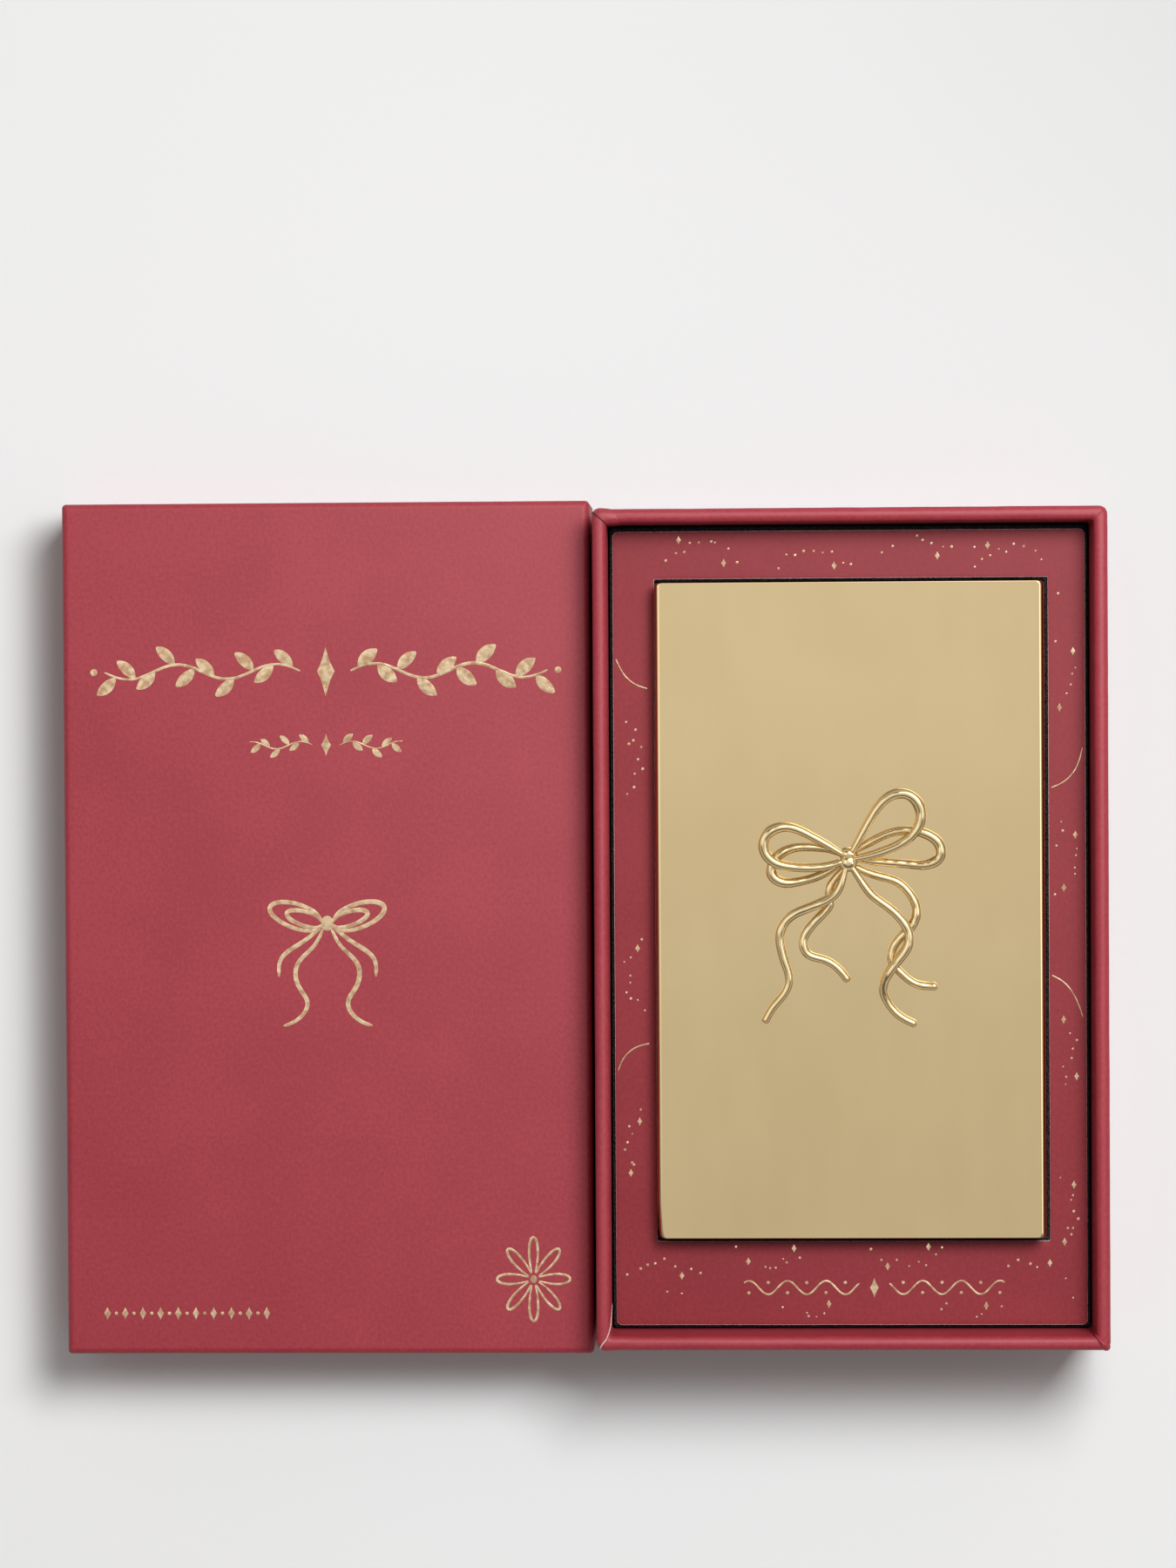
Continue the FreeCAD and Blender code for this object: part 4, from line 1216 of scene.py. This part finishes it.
card_foil = (
    dust(7, card_level)
    + strokes(card_arcs, 0.26, card_level)
    + strokes(both_sides([band_wave], BAND_X), 0.36, card_level)
    + [
        spangles([(BAND_X, BAND_Y)], 0.9, 2.1, LOZENGE, card_level),
        spangles(band_dots, 0.34, 0.34, DOT, card_level),
    ]
)
gold_pieces.append(make_piece("card_foil", card_foil, [gold_foil], "insert", sharp=80.0))

# Carried-over boards, stays and papers
CARRIED = {
    grey_board: [
        "tray_floor_board", "tray_left_board", "tray_right_board", "tray_head_board", "tray_foot_board",
        "lid_top_board", "lid_left_board", "lid_right_board", "lid_head_board", "lid_foot_board",
    ],
    stay_paper: ["tray_corner_stays", "lid_corner_stays"],
    rose_paper: ["tray_base_sheet", "tray_floor_lining", "lid_lining"],
}
for look, names in CARRIED.items():
    for name in names:
        nodes[name].material_slots[0].material = look

# Floor, light and camera, in metres
FLOOR_HALF = 12.0
KEY_PLACE = (0.130, 0.215, 0.55)
SET_MIDDLE = (-0.047, 0.0, 0.0)


def floor_looks(start):
    """Pale matt paper with painted light: a painted shade under the lamp, against its pool of light, and a
    painted cool tint near the red walls, against their red bounce, so that it looks even and neutral in
    their light; and a painted glow far from the object, where the lamp doesn't reach."""
    where = start.place()
    from_lamp = start.vector("DISTANCE", where, (KEY_PLACE[0], KEY_PLACE[1], 0.0), "Value")
    from_set = start.vector("DISTANCE", where, SET_MIDDLE, "Value")
    # Painted glow: the floor emits light far from the object, though it is no lamp.
    painted_glow_mask = start.ramp(start.vector("LENGTH", where, output="Value"), 0.24, 0.85)
    tooth = start.noise(where, 900.0, 2.0)
    # Painted shade: the floor's grey is darker near the lamp, against its pool of light.
    pale = start.ramp(from_lamp, 0.08, 0.46)
    plain = start.blend(pale, colour(0.60, 0.60, 0.60), colour(0.99, 0.99, 0.99))
    # Painted tint: cooler near the red walls, against the red light that they bounce onto the floor.
    painted_cool_grey = start.blend(pale, colour(0.578, 0.60, 0.60), colour(0.955, 0.99, 0.99))
    even = start.blend(start.ramp(from_set, 0.085, 0.135), painted_cool_grey, plain)
    return {
        "Base Color": start.blend(0.04 * tooth, even, colour(0.6, 0.6, 0.6)),
        "Roughness": 0.9,
        "Specular IOR Level": 0.1,
        "Emission Color": start.blend(painted_glow_mask, colour(0.0, 0.0, 0.0), colour(0.5, 0.5, 0.5)),
        "Emission Strength": 1.0,
    }


floor_mesh = bpy.data.meshes.new("floor")
floor_corners = [(x * FLOOR_HALF, y * FLOOR_HALF, 0) for x, y in ((-1, -1), (1, -1), (1, 1), (-1, 1))]
floor_mesh.from_pydata(floor_corners, [], [(0, 1, 2, 3)])
floor_mesh.materials.append(make_finish("floor_paper", floor_looks))
floor = bpy.data.objects.new("floor", floor_mesh)
bpy.context.scene.collection.objects.link(floor)

world = bpy.data.worlds.new("studio")
bpy.context.scene.world = world
world.use_nodes = True
world.node_tree.nodes.clear()
sky = Field(world.node_tree)
direction = sky.node("ShaderNodeTexCoord", {}, output="Generated")
split = sky.node("ShaderNodeSeparateXYZ", {"Vector": direction})
to_x, to_y, to_z = (Field(world.node_tree, part) for part in split.socket.node.outputs)
fill_light = 0.28 * (1.0 + 0.5 * to_y + 0.2 * to_x)
ceiling = (0.50 + 0.158 * sky.steps(to_y, -0.13, 0.03)) * sky.steps(to_z, 0.80, 0.97)


def window_glow(way, reach, strength):
    """A soft round window in the mirrored room, full within half its reach in degrees and gone beyond it."""
    unit = tuple(np.array(way) / np.linalg.norm(way))
    towards = sky.vector("DOT_PRODUCT", direction, unit, "Value")
    return strength * sky.steps(towards, math.cos(math.radians(reach)), math.cos(math.radians(reach / 2)))


windows = (
    window_glow((0.36, 0.49, 0.79), 27.0, 2.6)
    + window_glow((-0.55, 0.20, 0.80), 25.0, 0.9)
    + window_glow((0.64, 0.02, 0.77), 14.0, 1.8)
)
walls = 0.46 - 0.46 * sky.steps(to_z, 0.36, 0.66)
mirrored_room = 0.14 + ceiling + windows + walls
in_mirror = sky.node("ShaderNodeLightPath", {}, output="Is Glossy Ray")
glow = fill_light + in_mirror * (mirrored_room - fill_light)
background = sky.node("ShaderNodeBackground", {"Color": colour(1.0, 0.99, 0.97), "Strength": glow})
sky.node("ShaderNodeOutputWorld", {"Surface": background}, output=None)


def softbox(name, place, target, width, height, power):
    """A rectangular lamp that faces a target."""
    lamp = bpy.data.lights.new(name, "AREA")
    lamp.shape = "RECTANGLE"
    lamp.size = width
    lamp.size_y = height
    lamp.energy = power
    holder = bpy.data.objects.new(name, lamp)
    way = np.array(target) - np.array(place)
    tilt = math.acos(-way[2] / np.linalg.norm(way))
    turn = math.atan2(way[1], way[0]) - math.pi / 2
    holder.location = place
    holder.rotation_euler = (tilt, 0.0, turn)
    holder.visible_camera = False
    bpy.context.scene.collection.objects.link(holder)
    return holder


key_softbox = softbox("key_softbox", KEY_PLACE, target=(-0.045, 0.0, 0.0), width=0.24, height=0.24, power=3.6)
key_softbox.light_linking.receiver_collection = bpy.data.collections.new("mirror_bright")
for gilded in gold_pieces:
    key_softbox.light_linking.receiver_collection.objects.link(gilded)
for kept_out in key_softbox.light_linking.receiver_collection.collection_objects:
    kept_out.light_linking.link_state = "EXCLUDE"

camera = bpy.data.cameras.new("camera")
camera.sensor_fit = "VERTICAL"
camera.sensor_height = 36.0
camera.lens = 96.22
camera.clip_start = 0.01
stand = bpy.data.objects.new("camera", camera)
stand.location = (-0.0200, 0.0370, 0.760)
stand.rotation_euler = (math.radians(-0.905), math.radians(2.01), math.radians(-0.338))
bpy.context.scene.collection.objects.link(stand)
bpy.context.scene.camera = stand

bpy.context.scene.view_settings.view_transform = "Standard"
